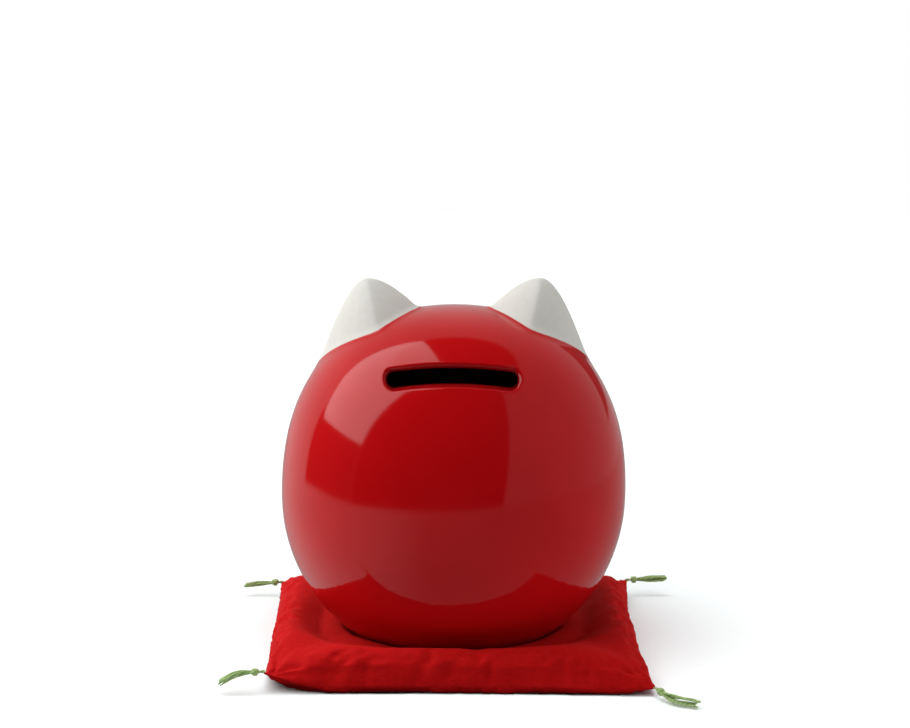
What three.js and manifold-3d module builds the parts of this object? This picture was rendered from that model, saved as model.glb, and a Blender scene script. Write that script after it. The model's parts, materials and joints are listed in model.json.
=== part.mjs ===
// A lucky cat coin bank on its square cushion, in millimetres, +Z up.
// The cat faces -Y and the coin slot is in its back, at +Y. The cat's left side is at +X.
// The origin is on the floor under the middle of the bank.

import * as THREE from 'three';
import { mergeVertices } from 'three/addons/utils/BufferGeometryUtils.js';
import Module from 'manifold-3d';

const wasm = await Module();
wasm.setup();

// The gap that is left between pieces that touch.
const TOUCH_GAP = 0.35;

// The bank's body is a turned form: an ellipse below its widest girth and a
// fuller superellipse above it, cut off flat at the foot.
const BODY_RADIUS = 55.4;
const GIRTH_HEIGHT = 49.9;
const CROWN_RISE = 60.8;
const CROWN_POWER = 2.38;
const BELLY_DROP = 54.6;
const FOOT_HEIGHT = 4.3;
const WALL = 4.6;
const BODY_SIDES = 60;
const BODY_RINGS = 18;
const CHAMBER_SIDES = 32;
const CHAMBER_RINGS = 10;

// Each ear is a rounded tent. Its level sections widen with the depth below the
// tip, as ROUND * sqrt(depth) + SLOPE * depth, towards each of its four sides.
const EAR_TIP_X = 27.1;
const EAR_TIP_Y = -4.2;
const EAR_TIP_HEIGHT = 120.2;
const EAR_DEPTH = 33;
const EAR_RIDGE_DRIFT = 0.27;
const EAR_OUTER = { round: 2.5, slope: 0.364 };
const EAR_INNER = { round: 4.04, slope: 0.075 };
const EAR_BACK = { round: 3.3, slope: 0.36 };
const EAR_FRONT = { round: 2.5, slope: 0.25 };
const EAR_BACK_POWER = 1.5;
const EAR_FRONT_POWER = 2;
const EAR_SIDES = 24;
const EAR_RINGS = 8;

// The coin slot is cut level through the back wall. It has half-round ends and
// arches up towards its middle.
const SLOT_LENGTH = 40.4;
const SLOT_HEIGHT = 4.7;
const SLOT_MIDDLE = 95.2;
const SLOT_ARCH = 1.75;

// The hole that empties the bank, in the foot, and the rubber plug that closes it.
const HOLE_RADIUS = 13.5;
const RECESS_RADIUS = 17.5;
const RECESS_DEPTH = 2.8;
const PLUG_FLANGE = 1.9;
const PLUG_HEIGHT = 8.2;
const PLUG_SIDES = 40;

// The cushion is a soft square of about 120 mm. Its sides curve in between the corners.
const SIDE_HOLLOWS = { left: 0.3, right: 2.3, back: 2.4, front: 1.6 };
const CUSHION_CREST = 12.8;
const CUSHION_CREST_POWER = 9;
const CUSHION_CREST_EASE = 0.42;
const CUSHION_SINK = 4.2;
const SINK_INNER = 34;
const SINK_OUTER = 54;
const CUSHION_SEAM_HEIGHT = 4.6;
const CUSHION_SEAM_HALF = 0.7;
const CUSHION_FLAT_PART = 0.9;
const CUSHION_CELLS = 18;
const CORNER_REACH = 0.55;

// Each corner of the seam, with the middle, the tip and the thickness of its tassel.
const CORNERS = [
  {
    name: 'back_left', sx: 1, sy: 1, at: [57.8, 58.8, 7.4],
    middle: [65.4, 58.9, 6.7], tip: [71.6, 58.9, 3.6], bundle: 1.5,
  },
  {
    name: 'back_right', sx: -1, sy: 1, at: [-62.3, 61.2, 2.9],
    middle: [-66.2, 68.6, 2.3], tip: [-74.3, 73.6, 1.8], bundle: 1.6,
  },
  {
    name: 'front_left', sx: 1, sy: -1, at: [59.4, -59.4, 5.3],
    middle: [66.2, -59.5, 4.6], tip: [72.6, -59.4, 3.9], bundle: 0.9,
  },
  {
    name: 'front_right', sx: -1, sy: -1, at: [-60.5, -59.4, 6.0],
    middle: [-67.5, -59.7, 6.1], tip: [-74.6, -59.9, 6.3], bundle: 1.3,
  },
];
const TASSEL_SIDES = 10;
const TASSEL_RINGS = 12;
const THREAD_RADIUS = 0.65;
const KNOT_RADIUS = 1.2;
const KNOT_PLACE = 0.2;
const KNOT_SPREAD = 0.08;
const BUNDLE_PLACE = 0.64;
const BUNDLE_SPREAD = 0.22;

// Turns a closed three.js geometry into a solid that can be joined and cut.
function solidOf(geometry) {
  const bare = geometry.clone();
  bare.deleteAttribute('normal');
  bare.deleteAttribute('uv');
  const merged = mergeVertices(bare, 1e-4);
  const index = merged.index.array;
  const kept = [];
  for (let i = 0; i < index.length; i += 3) {
    const [a, b, c] = [index[i], index[i + 1], index[i + 2]];
    if (a !== b && b !== c && c !== a) kept.push(a, b, c);
  }
  const mesh = new wasm.Mesh({
    numProp: 3,
    vertProperties: new Float32Array(merged.attributes.position.array),
    triVerts: new Uint32Array(kept),
  });
  return new wasm.Manifold(mesh);
}

// Turns a solid back into a three.js geometry.
function geometryOf(solid) {
  const { vertProperties, triVerts } = solid.getMesh();
  const geometry = new THREE.BufferGeometry();
  geometry.setAttribute('position', new THREE.BufferAttribute(new Float32Array(vertProperties), 3));
  geometry.setIndex(new THREE.BufferAttribute(new Uint32Array(triVerts), 1));
  geometry.computeVertexNormals();
  return geometry;
}

function named(name, geometry, color, roughness) {
  const material = new THREE.MeshStandardMaterial({ color, roughness, metalness: 0 });
  const mesh = new THREE.Mesh(geometry, material);
  mesh.name = name;
  return mesh;
}

// A profile of [radius, height] pairs turned around the Z axis.
function turned(profile, sides) {
  const points = profile.map(([radius, height]) => new THREE.Vector2(radius, height));
  return new THREE.LatheGeometry(points, sides).rotateX(Math.PI / 2);
}

// The body's radius at a height, with the surface moved inwards by inset.
function bodyRadius(height, inset = 0) {
  const rise = height - GIRTH_HEIGHT;
  const power = rise > 0 ? CROWN_POWER : 2;
  const reach = (rise > 0 ? CROWN_RISE : BELLY_DROP) - inset;
  const part = Math.min(Math.abs(rise) / reach, 1);
  return (BODY_RADIUS - inset) * (1 - part ** power) ** (1 / power);
}

// The body's outline from the axis at the foot to the axis at the crown.
function bodyProfile(inset, steps) {
  const foot = FOOT_HEIGHT + inset;
  const crown = GIRTH_HEIGHT + CROWN_RISE - inset;
  const profile = [[0, foot]];
  const footTurn = Math.asin((GIRTH_HEIGHT - foot) / (BELLY_DROP - inset));
  for (let i = 0; i < steps; i += 1) {
    const turn = -footTurn + (footTurn + Math.PI / 2) * (i / steps);
    const height = turn < 0
      ? GIRTH_HEIGHT + (BELLY_DROP - inset) * Math.sin(turn)
      : GIRTH_HEIGHT + (CROWN_RISE - inset) * Math.sin(turn) ** (2 / CROWN_POWER);
    profile.push([bodyRadius(height, inset), height]);
  }
  profile.push([0, crown]);
  return profile;
}

function spread({ round, slope }, depth) {
  return round * Math.sqrt(depth) + slope * depth;
}

// The point of an ear's surface at a depth below its tip and an angle around it.
function earPoint(depth, angle, inset) {
  const across = Math.cos(angle);
  const along = Math.sin(angle);
  const power = along > 0 ? EAR_BACK_POWER : EAR_FRONT_POWER;
  const sideways = spread(across > 0 ? EAR_OUTER : EAR_INNER, depth) - inset;
  const lengthways = spread(along > 0 ? EAR_BACK : EAR_FRONT, depth) - inset;
  const bend = 2 / power;
  return new THREE.Vector3(
    EAR_TIP_X - EAR_RIDGE_DRIFT * depth + sideways * Math.sign(across) * Math.abs(across) ** bend,
    EAR_TIP_Y + lengthways * Math.sign(along) * Math.abs(along) ** bend,
    EAR_TIP_HEIGHT - depth,
  );
}

// One ear, on the cat's left for side 1 and on its right for side -1.
function earSolid(side, inset) {
  const geometry = new THREE.CylinderGeometry(1, 1, 1, EAR_SIDES, EAR_RINGS);
  const position = geometry.attributes.position;
  const shallowest = inset > 0 ? 2 * inset : 0.05;
  for (let i = 0; i < position.count; i += 1) {
    const level = 0.5 - position.getY(i);
    const depth = shallowest + (EAR_DEPTH - shallowest) * level ** 2;
    const angle = Math.atan2(position.getZ(i), position.getX(i));
    const onAxis = Math.hypot(position.getX(i), position.getZ(i)) < 0.5;
    const point = earPoint(depth, angle, inset);
    if (onAxis) point.set(EAR_TIP_X - EAR_RIDGE_DRIFT * depth, EAR_TIP_Y, point.z);
    position.setXYZ(i, side * point.x, point.y, point.z);
  }
  if (side > 0) geometry.index.array.reverse();
  return solidOf(geometry);
}

// An arched bar with half-round ends, which cuts the coin slot through the back.
function slotSolid() {
  const end = SLOT_HEIGHT / 2;
  const half = SLOT_LENGTH / 2 - end;
  const bend = (half ** 2 + SLOT_ARCH ** 2) / (2 * SLOT_ARCH);
  const lean = Math.asin(half / bend);
  const outline = new THREE.Shape();
  outline.absarc(0, -bend, bend + end, Math.PI / 2 - lean, Math.PI / 2 + lean, false);
  outline.absarc(-half, -SLOT_ARCH, end, Math.PI / 2 + lean, Math.PI * 1.5 + lean, false);
  outline.absarc(0, -bend, bend - end, Math.PI / 2 + lean, Math.PI / 2 - lean, true);
  outline.absarc(half, -SLOT_ARCH, end, -Math.PI / 2 - lean, Math.PI / 2 - lean, false);
  const geometry = new THREE.ExtrudeGeometry(outline, {
    depth: BODY_RADIUS,
    bevelEnabled: false,
    curveSegments: 6,
  });
  return solidOf(geometry.rotateX(Math.PI / 2).translate(0, BODY_RADIUS, SLOT_MIDDLE));
}

// The stepped hole in the foot, as a solid to cut away.
function holeSolid() {
  const below = FOOT_HEIGHT - 1;
  const recess = FOOT_HEIGHT + RECESS_DEPTH;
  const above = FOOT_HEIGHT + 2 * WALL;
  return solidOf(turned([
    [0, below],
    [RECESS_RADIUS, below],
    [RECESS_RADIUS, recess],
    [HOLE_RADIUS, recess],
    [HOLE_RADIUS, above],
    [0, above],
  ], PLUG_SIDES));
}

// The hollow ceramic cat, with its ears, its coin slot and the hole in its foot.
function bankBody() {
  const outside = solidOf(turned(bodyProfile(0, BODY_RINGS), BODY_SIDES));
  const chamber = solidOf(turned(bodyProfile(WALL, CHAMBER_RINGS), CHAMBER_SIDES));
  const ears = earSolid(1, 0).add(earSolid(-1, 0));
  const earHollows = earSolid(1, WALL).add(earSolid(-1, WALL));
  const shell = outside.add(ears).subtract(chamber.add(earHollows));
  return geometryOf(shell.subtract(slotSolid()).subtract(holeSolid()));
}

// The rubber plug: a flange in the recess and a tapered neck in the hole.
function bottomStopper() {
  const neckFoot = FOOT_HEIGHT + RECESS_DEPTH - TOUCH_GAP;
  const flange = RECESS_RADIUS - TOUCH_GAP;
  const neck = HOLE_RADIUS - TOUCH_GAP;
  const bevel = PLUG_FLANGE / 4;
  const top = FOOT_HEIGHT + PLUG_HEIGHT;
  return turned([
    [0, neckFoot - PLUG_FLANGE],
    [flange - bevel, neckFoot - PLUG_FLANGE],
    [flange, neckFoot - PLUG_FLANGE + bevel],
    [flange, neckFoot],
    [neck, neckFoot],
    [neck - bevel, top],
    [0, top],
  ], PLUG_SIDES);
}

// How much of the full effect a place has between two limits, from 0 to 1.
function eased(value, from, to) {
  return THREE.MathUtils.smoothstep(value, from, to);
}

// The height of the seam around the cushion, raised or lowered at its corners.
function seamHeight(u, v) {
  let height = CUSHION_SEAM_HEIGHT;
  for (const corner of CORNERS) {
    const near = Math.max(0, u * corner.sx) * Math.max(0, v * corner.sy);
    height += (corner.at[2] - CUSHION_SEAM_HEIGHT) * eased(near, CORNER_REACH, 1);
  }
  return height;
}

// Where a place on the cushion's square, from -1 to 1 each way, lies on the floor.
function cushionPlace(u, v) {
  const place = new THREE.Vector2();
  for (const { sx, sy, at } of CORNERS) {
    const share = (1 + u * sx) * (1 + v * sy) / 4;
    place.x += share * at[0];
    place.y += share * at[1];
  }
  place.x -= u * (u > 0 ? SIDE_HOLLOWS.left : SIDE_HOLLOWS.right) * (1 - v * v);
  place.y -= v * (v > 0 ? SIDE_HOLLOWS.back : SIDE_HOLLOWS.front) * (1 - u * u);
  return place;
}

// The stuffed top swells from the seam to a crest and sinks again under the bank.
function cushionTop(u, v) {
  const seam = seamHeight(u, v) + CUSHION_SEAM_HALF;
  const swell = (1 - Math.abs(u) ** CUSHION_CREST_POWER) * (1 - Math.abs(v) ** CUSHION_CREST_POWER);
  const distance = cushionPlace(u, v).length();
  const sink = CUSHION_SINK * (1 - eased(distance, SINK_INNER, SINK_OUTER));
  return seam + (CUSHION_CREST - sink - seam) * swell ** CUSHION_CREST_EASE;
}

// The underside is flat on the floor and curls up to the seam at its edge.
function cushionUnderside(u, v) {
  const outwards = Math.min(1, (u ** 6 + v ** 6) ** (1 / 6));
  const curl = Math.max(0, outwards - CUSHION_FLAT_PART) / (1 - CUSHION_FLAT_PART);
  return (seamHeight(u, v) - CUSHION_SEAM_HALF) * (1 - Math.sqrt(1 - curl * curl));
}

function cushion() {
  const geometry = new THREE.BoxGeometry(2, 2, 2, CUSHION_CELLS, CUSHION_CELLS, 1);
  const position = geometry.attributes.position;
  for (let i = 0; i < position.count; i += 1) {
    const u = Math.sin(position.getX(i) * Math.PI / 2);
    const v = Math.sin(position.getY(i) * Math.PI / 2);
    const place = cushionPlace(u, v);
    const height = position.getZ(i) > 0 ? cushionTop(u, v) : cushionUnderside(u, v);
    position.setXYZ(i, place.x, place.y, height);
  }
  const seat = solidOf(turned(bodyProfile(-TOUCH_GAP, BODY_RINGS), BODY_SIDES));
  return geometryOf(solidOf(geometry).subtract(seat));
}

// The tassel's radius along its length: a thread, its knot, then the loose bundle.
function tasselRadius(t, bundle) {
  const knotPart = Math.exp(-(((t - KNOT_PLACE) / KNOT_SPREAD) ** 2));
  const bundlePart = Math.exp(-(((t - BUNDLE_PLACE) / BUNDLE_SPREAD) ** 2));
  return THREAD_RADIUS + (KNOT_RADIUS - THREAD_RADIUS) * knotPart + (bundle - THREAD_RADIUS) * bundlePart;
}

// A tassel of thread from one corner of the cushion, with its end lying outwards.
function tassel({ sx, sy, at, middle, tip, bundle }) {
  const outwards = new THREE.Vector3(sx, sy, 0).setLength(2 * TOUCH_GAP);
  const start = new THREE.Vector3(...at).add(outwards);
  const path = new THREE.CatmullRomCurve3([
    start,
    new THREE.Vector3(...middle),
    new THREE.Vector3(...tip),
  ]);
  const geometry = new THREE.CylinderGeometry(1, 1, 1, TASSEL_SIDES, TASSEL_RINGS);
  const position = geometry.attributes.position;
  const up = new THREE.Vector3(0, 0, 1);
  for (let i = 0; i < position.count; i += 1) {
    const t = position.getY(i) + 0.5;
    const along = path.getTangentAt(t);
    const across = along.clone().cross(up).normalize();
    const upwards = across.clone().cross(along);
    const radius = tasselRadius(t, bundle);
    const point = path.getPointAt(t)
      .addScaledVector(across, position.getX(i) * radius)
      .addScaledVector(upwards, position.getZ(i) * radius);
    position.setXYZ(i, point.x, point.y, point.z);
  }
  return geometry;
}

const bank = new THREE.Group();
bank.add(named('bank_body', bankBody(), 0xb0141a, 0.12));
bank.add(named('bottom_stopper', bottomStopper(), 0x2b2b2d, 0.7));
bank.add(named('cushion', cushion(), 0xa81318, 0.95));
for (const corner of CORNERS) {
  bank.add(named(`tassel_${corner.name}`, tassel(corner), 0xa9c27f, 0.85));
}

export default bank;
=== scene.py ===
"""A lucky cat coin bank on its square crepe cushion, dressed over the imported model.

Sizes are fields in millimetres, in the row's frame, and turn to metres where a mesh
is made. The cat faces -Y, its left side is at +X, and the coin slot in its back is at
+Y, where the photograph's camera stands.
"""

import functools
import json
import logging
import math
from collections.abc import Mapping, Sequence
from dataclasses import dataclass, field
from enum import Enum

import bmesh
import bpy
import numpy as np
from mathutils import Matrix, Vector

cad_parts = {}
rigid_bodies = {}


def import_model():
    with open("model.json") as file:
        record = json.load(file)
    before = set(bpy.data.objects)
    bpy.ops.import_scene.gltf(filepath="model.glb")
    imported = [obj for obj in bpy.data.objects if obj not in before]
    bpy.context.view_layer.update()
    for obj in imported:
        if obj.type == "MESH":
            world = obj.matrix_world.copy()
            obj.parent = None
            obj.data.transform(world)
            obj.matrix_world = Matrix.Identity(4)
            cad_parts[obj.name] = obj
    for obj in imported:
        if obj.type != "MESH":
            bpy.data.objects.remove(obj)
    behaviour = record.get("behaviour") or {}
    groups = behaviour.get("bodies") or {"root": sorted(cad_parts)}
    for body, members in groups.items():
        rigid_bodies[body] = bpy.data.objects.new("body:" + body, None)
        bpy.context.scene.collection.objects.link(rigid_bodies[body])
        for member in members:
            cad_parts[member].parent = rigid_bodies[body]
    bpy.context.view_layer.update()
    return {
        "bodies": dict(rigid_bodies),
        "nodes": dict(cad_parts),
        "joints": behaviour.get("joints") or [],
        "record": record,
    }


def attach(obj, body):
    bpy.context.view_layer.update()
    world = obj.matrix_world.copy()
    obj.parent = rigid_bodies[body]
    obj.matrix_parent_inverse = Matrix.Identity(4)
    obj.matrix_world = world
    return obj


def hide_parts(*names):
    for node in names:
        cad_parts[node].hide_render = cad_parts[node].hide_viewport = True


log = logging.getLogger("lucky_cat_bank")

MM = 0.001
ROOT_BODY = "root"
LATTICE = 48


class Slot(Enum):
    """The record's material slots."""

    RED_GLAZE = "red_glaze"
    STOPPER_RUBBER = "stopper_rubber"
    RED_CREPE = "red_crepe"
    GREEN_THREAD = "green_thread"


class Mask(Enum):
    """The painted areas of the bank, kept on its points as millimetres inside the edge."""

    BISQUE = "bisque_edge"
    PAWS = "paw_edge"
    INNER_EAR = "inner_ear_edge"


class Share(Enum):
    """How much of the slot's painted shade and of bare clay each point of the bank has, from 0 to 1."""

    # Painted shade inside the slot, darkest on its upper lip and wall.
    SLOT_SHADE = "painted_slot_shade"
    BARE = "bare_clay"


def linear(code: str) -> tuple[float, float, float, float]:
    """Turns an sRGB hex colour into a linear one.

    Args:
        code: Six hex digits, red first.

    Returns:
        Linear red, green and blue, and an alpha of 1.
    """
    parts = [int(code[i : i + 2], 16) / 255 for i in (0, 2, 4)]
    red, green, blue = [c / 12.92 if c <= 0.04045 else ((c + 0.055) / 1.055) ** 2.4 for c in parts]
    return red, green, blue, 1.0


def add_node(
    tree: bpy.types.NodeTree,
    kind: str,
    settings: Mapping[str, object] | None = None,
    links: Mapping[str | int, object] | None = None,
) -> bpy.types.Node:
    """Adds a node with its settings and its inputs.

    Args:
        tree: The node tree that gets the node.
        kind: Blender's name for the node's type.
        settings: Values of the node's own properties.
        links: For each input, by name or number, a socket to join or a value to set.

    Returns:
        The new node.
    """
    node = tree.nodes.new(kind)
    for name, value in (settings or {}).items():
        setattr(node, name, value)
    for key, value in (links or {}).items():
        if isinstance(value, bpy.types.NodeSocket):
            tree.links.new(value, node.inputs[key])
        else:
            node.inputs[key].default_value = value
    return node


def new_material(name: str) -> tuple[bpy.types.Material, bpy.types.NodeTree]:
    """Makes an empty node material.

    Args:
        name: The material's name.

    Returns:
        The material and its node tree.
    """
    material = bpy.data.materials.new(name)
    material.use_nodes = True
    material.node_tree.nodes.clear()
    return material, material.node_tree


def finish_surface(tree: bpy.types.NodeTree, links: Mapping[str | int, object]) -> None:
    """Ends a material in one Principled shader.

    Args:
        tree: The material's node tree.
        links: The shader's inputs.
    """
    shader = add_node(tree, "ShaderNodeBsdfPrincipled", links=links)
    add_node(tree, "ShaderNodeOutputMaterial", links={"Surface": shader.outputs["BSDF"]})


def per_metre(pitch: float) -> float:
    """Gives the texture scale that repeats about every pitch millimetres."""
    return 1 / (pitch * MM)


@functools.cache
def lattice(seed: int) -> np.ndarray:
    """A cube of seeded values from -1 to 1."""
    return np.random.default_rng(seed).uniform(-1, 1, (LATTICE, LATTICE, LATTICE))


def lattice_noise(points: np.ndarray, pitch: float, seed: int) -> np.ndarray:
    """Smooth noise from a seeded lattice.

    Args:
        points: The places, one row each, in millimetres.
        pitch: The lattice spacing in millimetres.
        seed: The seed of the lattice values.

    Returns:
        One value from about -1 to 1 for each place.
    """
    values = lattice(seed)
    cell = points / pitch + LATTICE / 2
    low = np.floor(cell).astype(int)
    part = cell - low
    ease = part * part * (3 - 2 * part)
    total = np.zeros(len(points))
    for corner in np.ndindex(2, 2, 2):
        weight = np.prod(np.where(np.array(corner) == 1, ease, 1 - ease), axis=1)
        place = (low + corner) % LATTICE
        total += weight * values[place[:, 0], place[:, 1], place[:, 2]]
    return total


def smoothstep(value: np.ndarray, start: float, end: float) -> np.ndarray:
    """Eases a value from 0 at start to 1 at end."""
    part = np.clip((value - start) / (end - start), 0, 1)
    return part * part * (3 - 2 * part)


def smooth_min(a: np.ndarray, b: np.ndarray, reach: float) -> np.ndarray:
    """Joins two surface values with a soft fillet.

    Args:
        a: The first surface's values.
        b: The second surface's values.
        reach: How far from the joint, in millimetres, the fillet starts.

    Returns:
        The joined surface's values.
    """
    part = np.clip(0.5 + 0.5 * (b - a) / reach, 0, 1)
    return b * (1 - part) + a * part - reach * part * (1 - part)


def unit(vectors: np.ndarray) -> np.ndarray:
    """Scales each row to a length of 1."""
    return vectors / np.maximum(np.linalg.norm(vectors, axis=-1, keepdims=True), 1e-12)


class MeshMaker:
    """Loops of points in millimetres that are joined into one surface."""

    def __init__(self) -> None:
        """Starts with no points."""
        self.points: list[np.ndarray] = []
        self.faces: list[tuple[int, ...]] = []
        self.tags: list[int] = []
        self.count = 0

    def add(self, points: np.ndarray) -> np.ndarray:
        """Adds points.

        Args:
            points: One row for each point.

        Returns:
            The new points' numbers.
        """
        points = np.atleast_2d(points)
        self.points.append(points)
        self.count += len(points)
        return np.arange(self.count - len(points), self.count)

    def bridge(self, first: np.ndarray, second: np.ndarray, tag: int = 0) -> None:
        """Joins two closed loops of the same length with four-sided faces.

        Args:
            first: The first loop's point numbers.
            second: The second loop's point numbers.
            tag: The faces' material number.
        """
        for a, b, c, d in zip(first, np.roll(first, -1), np.roll(second, -1), second):
            self.face((a, b, c, d), tag)

    def face(self, corners: Sequence[int], tag: int = 0) -> None:
        """Adds one face by its corners' numbers."""
        self.faces.append(tuple(int(c) for c in corners))
        self.tags.append(tag)

    def fan(self, loop: np.ndarray, centre: int, tag: int = 0) -> None:
        """Closes a loop with triangles that meet in one point."""
        for a, b in zip(loop, np.roll(loop, -1)):
            self.face((a, b, centre), tag)

    def make(self, name: str, normals: np.ndarray | None = None) -> bpy.types.Object:
        """Makes the object, with its faces turned outwards and shaded smooth.

        Args:
            name: The object's name.
            normals: A shading normal for each point, or None to use the faces' own.

        Returns:
            The new object.
        """
        mesh = bpy.data.meshes.new(name)
        mesh.from_pydata((np.vstack(self.points) * MM).tolist(), [], self.faces)
        mesh.polygons.foreach_set("material_index", self.tags)
        shape = bmesh.new()
        shape.from_mesh(mesh)
        bmesh.ops.recalc_face_normals(shape, faces=shape.faces)
        if shape.calc_volume(signed=True) < 0:
            bmesh.ops.reverse_faces(shape, faces=shape.faces)
        shape.to_mesh(mesh)
        shape.free()
        mesh.shade_smooth()
        if normals is not None:
            mesh.normals_split_custom_set_from_vertices(normals.tolist())
        piece = bpy.data.objects.new(name, mesh)
        bpy.context.scene.collection.objects.link(piece)
        return piece


class GlazedMesh(MeshMaker):
    """A mesh that also keeps each point's shading normal, its share of painted slot shade and of bare clay.
    """

    def __init__(self) -> None:
        """Starts with no points."""
        super().__init__()
        self.normals: list[np.ndarray] = []
        self.shares: dict[Share, list[np.ndarray]] = {share: [] for share in Share}

    def lay(
        self,
        points: np.ndarray,
        normals: np.ndarray,
        shares: Mapping[Share, float | np.ndarray] | None = None,
    ) -> np.ndarray:
        """Adds points with their normals and shares.

        Args:
            points: One row for each point.
            normals: A shading normal for each or for all, where 0 means the faces' own.
            shares: The shares that aren't 0.

        Returns:
            The new points' numbers.
        """
        points = np.atleast_2d(points)
        self.normals.append(np.broadcast_to(normals, points.shape))
        for share, parts in self.shares.items():
            parts.append(np.full(len(points), (shares or {}).get(share, 0.0)))
        return self.add(points)


def sweep(maker: MeshMaker, path: np.ndarray, radii: np.ndarray, sides: int, tag: int = 0) -> None:
    """Adds a closed tube along a path.

    Args:
        maker: The mesh that gets the tube.
        path: The points along its middle.
        radii: The radius at each of them.
        sides: How many sides the tube has.
        tag: The faces' material number.
    """
    along = unit(np.gradient(path, axis=0))
    across = np.zeros_like(path)
    start = np.cross(along[0], (0.0, 0.0, 1.0))
    across[0] = start if np.linalg.norm(start) > 0.1 else (1.0, 0.0, 0.0)
    for i in range(len(path)):
        before = across[max(i - 1, 0)]
        across[i] = unit(before - along[i] * np.dot(before, along[i]))
    third = np.cross(along, across)
    turns = np.arange(sides) * 2 * math.pi / sides
    rings = [
        maker.add(
            path[i] + radii[i] * (np.outer(np.cos(turns), across[i]) + np.outer(np.sin(turns), third[i]))
        )
        for i in range(len(path))
    ]
    for first, second in zip(rings, rings[1:]):
        maker.bridge(first, second, tag)
    for ring, middle, outwards in ((rings[0], 0, -1), (rings[-1], -1, 1)):
        cap = path[middle] + outwards * along[middle] * radii[middle] * 0.6
        maker.fan(ring, int(maker.add(cap)[0]), tag)


def smooth_path(corners: Sequence[Sequence[float]], count: int) -> np.ndarray:
    """A curve through a few points.

    Args:
        corners: The points it passes through.
        count: How many points it gets.

    Returns:
        Evenly parted points along the curve.
    """
    knots = np.asarray(corners, float)
    ends = np.vstack([2 * knots[0] - knots[1], knots, 2 * knots[-1] - knots[-2]])
    fine = []
    for p0, p1, p2, p3 in zip(ends, ends[1:], ends[2:], ends[3:]):
        t = np.linspace(0, 1, 24, endpoint=False)[:, None]
        fine.append(
            0.5
            * (
                2 * p1
                + (p2 - p0) * t
                + (2 * p0 - 5 * p1 + 4 * p2 - p3) * t**2
                + (3 * p1 - p0 - 3 * p2 + p3) * t**3
            )
        )
    line = np.vstack([*fine, knots[-1:]])
    reach = np.concatenate([[0], np.cumsum(np.linalg.norm(np.diff(line, axis=0), axis=1))])
    places = np.linspace(0, reach[-1], count)
    return np.column_stack([np.interp(places, reach, line[:, k]) for k in range(3)])


@dataclass(frozen=True)
class EarShape:
    """One ear: a rounded tent that widens with the depth below its tip."""

    tip: tuple[float, float, float] = (27.1, -4.2, 119.8)
    ridge_drift: float = 0.27
    outer: tuple[float, float] = (2.5, 0.364)
    inner: tuple[float, float] = (4.04, 0.075)
    back: tuple[float, float] = (3.3, 0.36)
    front: tuple[float, float] = (2.5, 0.25)
    back_power: float = 1.5
    front_power: float = 2.0
    right_shift: float = 1.1
    ridge_softness: float = 0.8
    softened_below: float = 6.0

    def depth(self, points: np.ndarray) -> np.ndarray:
        """How far each point is below the tip."""
        return np.maximum(self.tip[2] - points[:, 2], 0.02)

    def across(self, points: np.ndarray, side: int) -> np.ndarray:
        """How far each point is outwards of the ear's ridge."""
        tip = self.tip[0] + (self.right_shift if side < 0 else 0.0)
        return side * points[:, 0] - (tip - self.ridge_drift * self.depth(points))

    def half_width(self, points: np.ndarray, side: int) -> np.ndarray:
        """The ear's reach from the ridge to the side that each point is on."""
        root, depth = np.sqrt(self.depth(points)), self.depth(points)
        outer = self.outer[0] * root + self.outer[1] * depth
        inner = self.inner[0] * root + self.inner[1] * depth
        return np.where(self.across(points, side) > 0, outer, inner)

    def gauge(self, points: np.ndarray, side: int) -> np.ndarray:
        """The ear's own measure of each point, which is 1 on its surface.

        Args:
            points: The points in millimetres.
            side: 1 for the cat's left ear and -1 for its right one.

        Returns:
            A value below 1 inside the ear and above 1 outside it.
        """
        root, depth = np.sqrt(self.depth(points)), self.depth(points)
        along = points[:, 1] - self.tip[1]
        behind = along > 0
        power = np.where(behind, self.back_power, self.front_power)
        lengthways = np.where(
            behind, self.back[0] * root + self.back[1] * depth, self.front[0] * root + self.front[1] * depth
        )
        across = self.across(points, side)
        depth = self.depth(points)
        soft = self.ridge_softness * depth / (depth + self.softened_below)
        wide = across**2 / np.hypot(across, soft) / self.half_width(points, side)
        return (wide**power + (np.abs(along) / lengthways) ** power) ** (1 / power)

    def distance(self, points: np.ndarray, side: int) -> np.ndarray:
        """About how far each point is outside the ear, in millimetres."""
        step = 0.05
        value = self.gauge(points, side)
        slopes = [(self.gauge(points + step * axis, side) - value) / step for axis in np.eye(3)]
        steepness = np.maximum(np.linalg.norm(slopes, axis=0), 1e-3)
        return np.maximum((value - 1) / steepness, points[:, 2] - self.tip[2])


@dataclass(frozen=True)
class CoinSlot:
    """The slot in the back: a cut that arches up, with half-round ends and rounded lips."""

    length: float = 40.4
    height: float = 4.7
    middle: float = 95.2
    arch: float = 1.75
    # How much of the painted shade inside the slot reaches the sill, which faces up.
    sill_shade: float = 0.25
    lip: float = 1.25
    side_parts: int = 24
    long_parts: int = 48
    block: tuple[float, float] = (34.2, 50.6)

    def outline(self) -> tuple[np.ndarray, np.ndarray]:
        """The slot's outline seen along Y, from its upper corner at +X.

        Returns:
            The outline's points as X and Z, and at each the direction into the wall.
        """
        end = self.height / 2
        half = self.length / 2 - end
        bend = (half**2 + self.arch**2) / (2 * self.arch)
        lean = math.asin(half / bend)
        first, last = math.pi / 2 - lean, math.pi / 2 + lean
        stretches = (
            (first, last, self.long_parts, (0.0, -bend), bend + end, 1),
            (last, last + math.pi, self.side_parts, (-half, -self.arch), end, 1),
            (last, first, self.long_parts, (0.0, -bend), bend - end, -1),
            (first - math.pi, first, self.side_parts, (half, -self.arch), end, 1),
        )
        points, walls = [], []
        for start, stop, count, centre, radius, wallwards in stretches:
            turn = np.linspace(start, stop, count, endpoint=False)
            ways = np.column_stack([np.cos(turn), np.sin(turn)])
            points.append(np.array(centre) + radius * ways)
            walls.append(wallwards * ways)
        return np.vstack(points) + (0.0, self.middle), np.vstack(walls)


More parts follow.
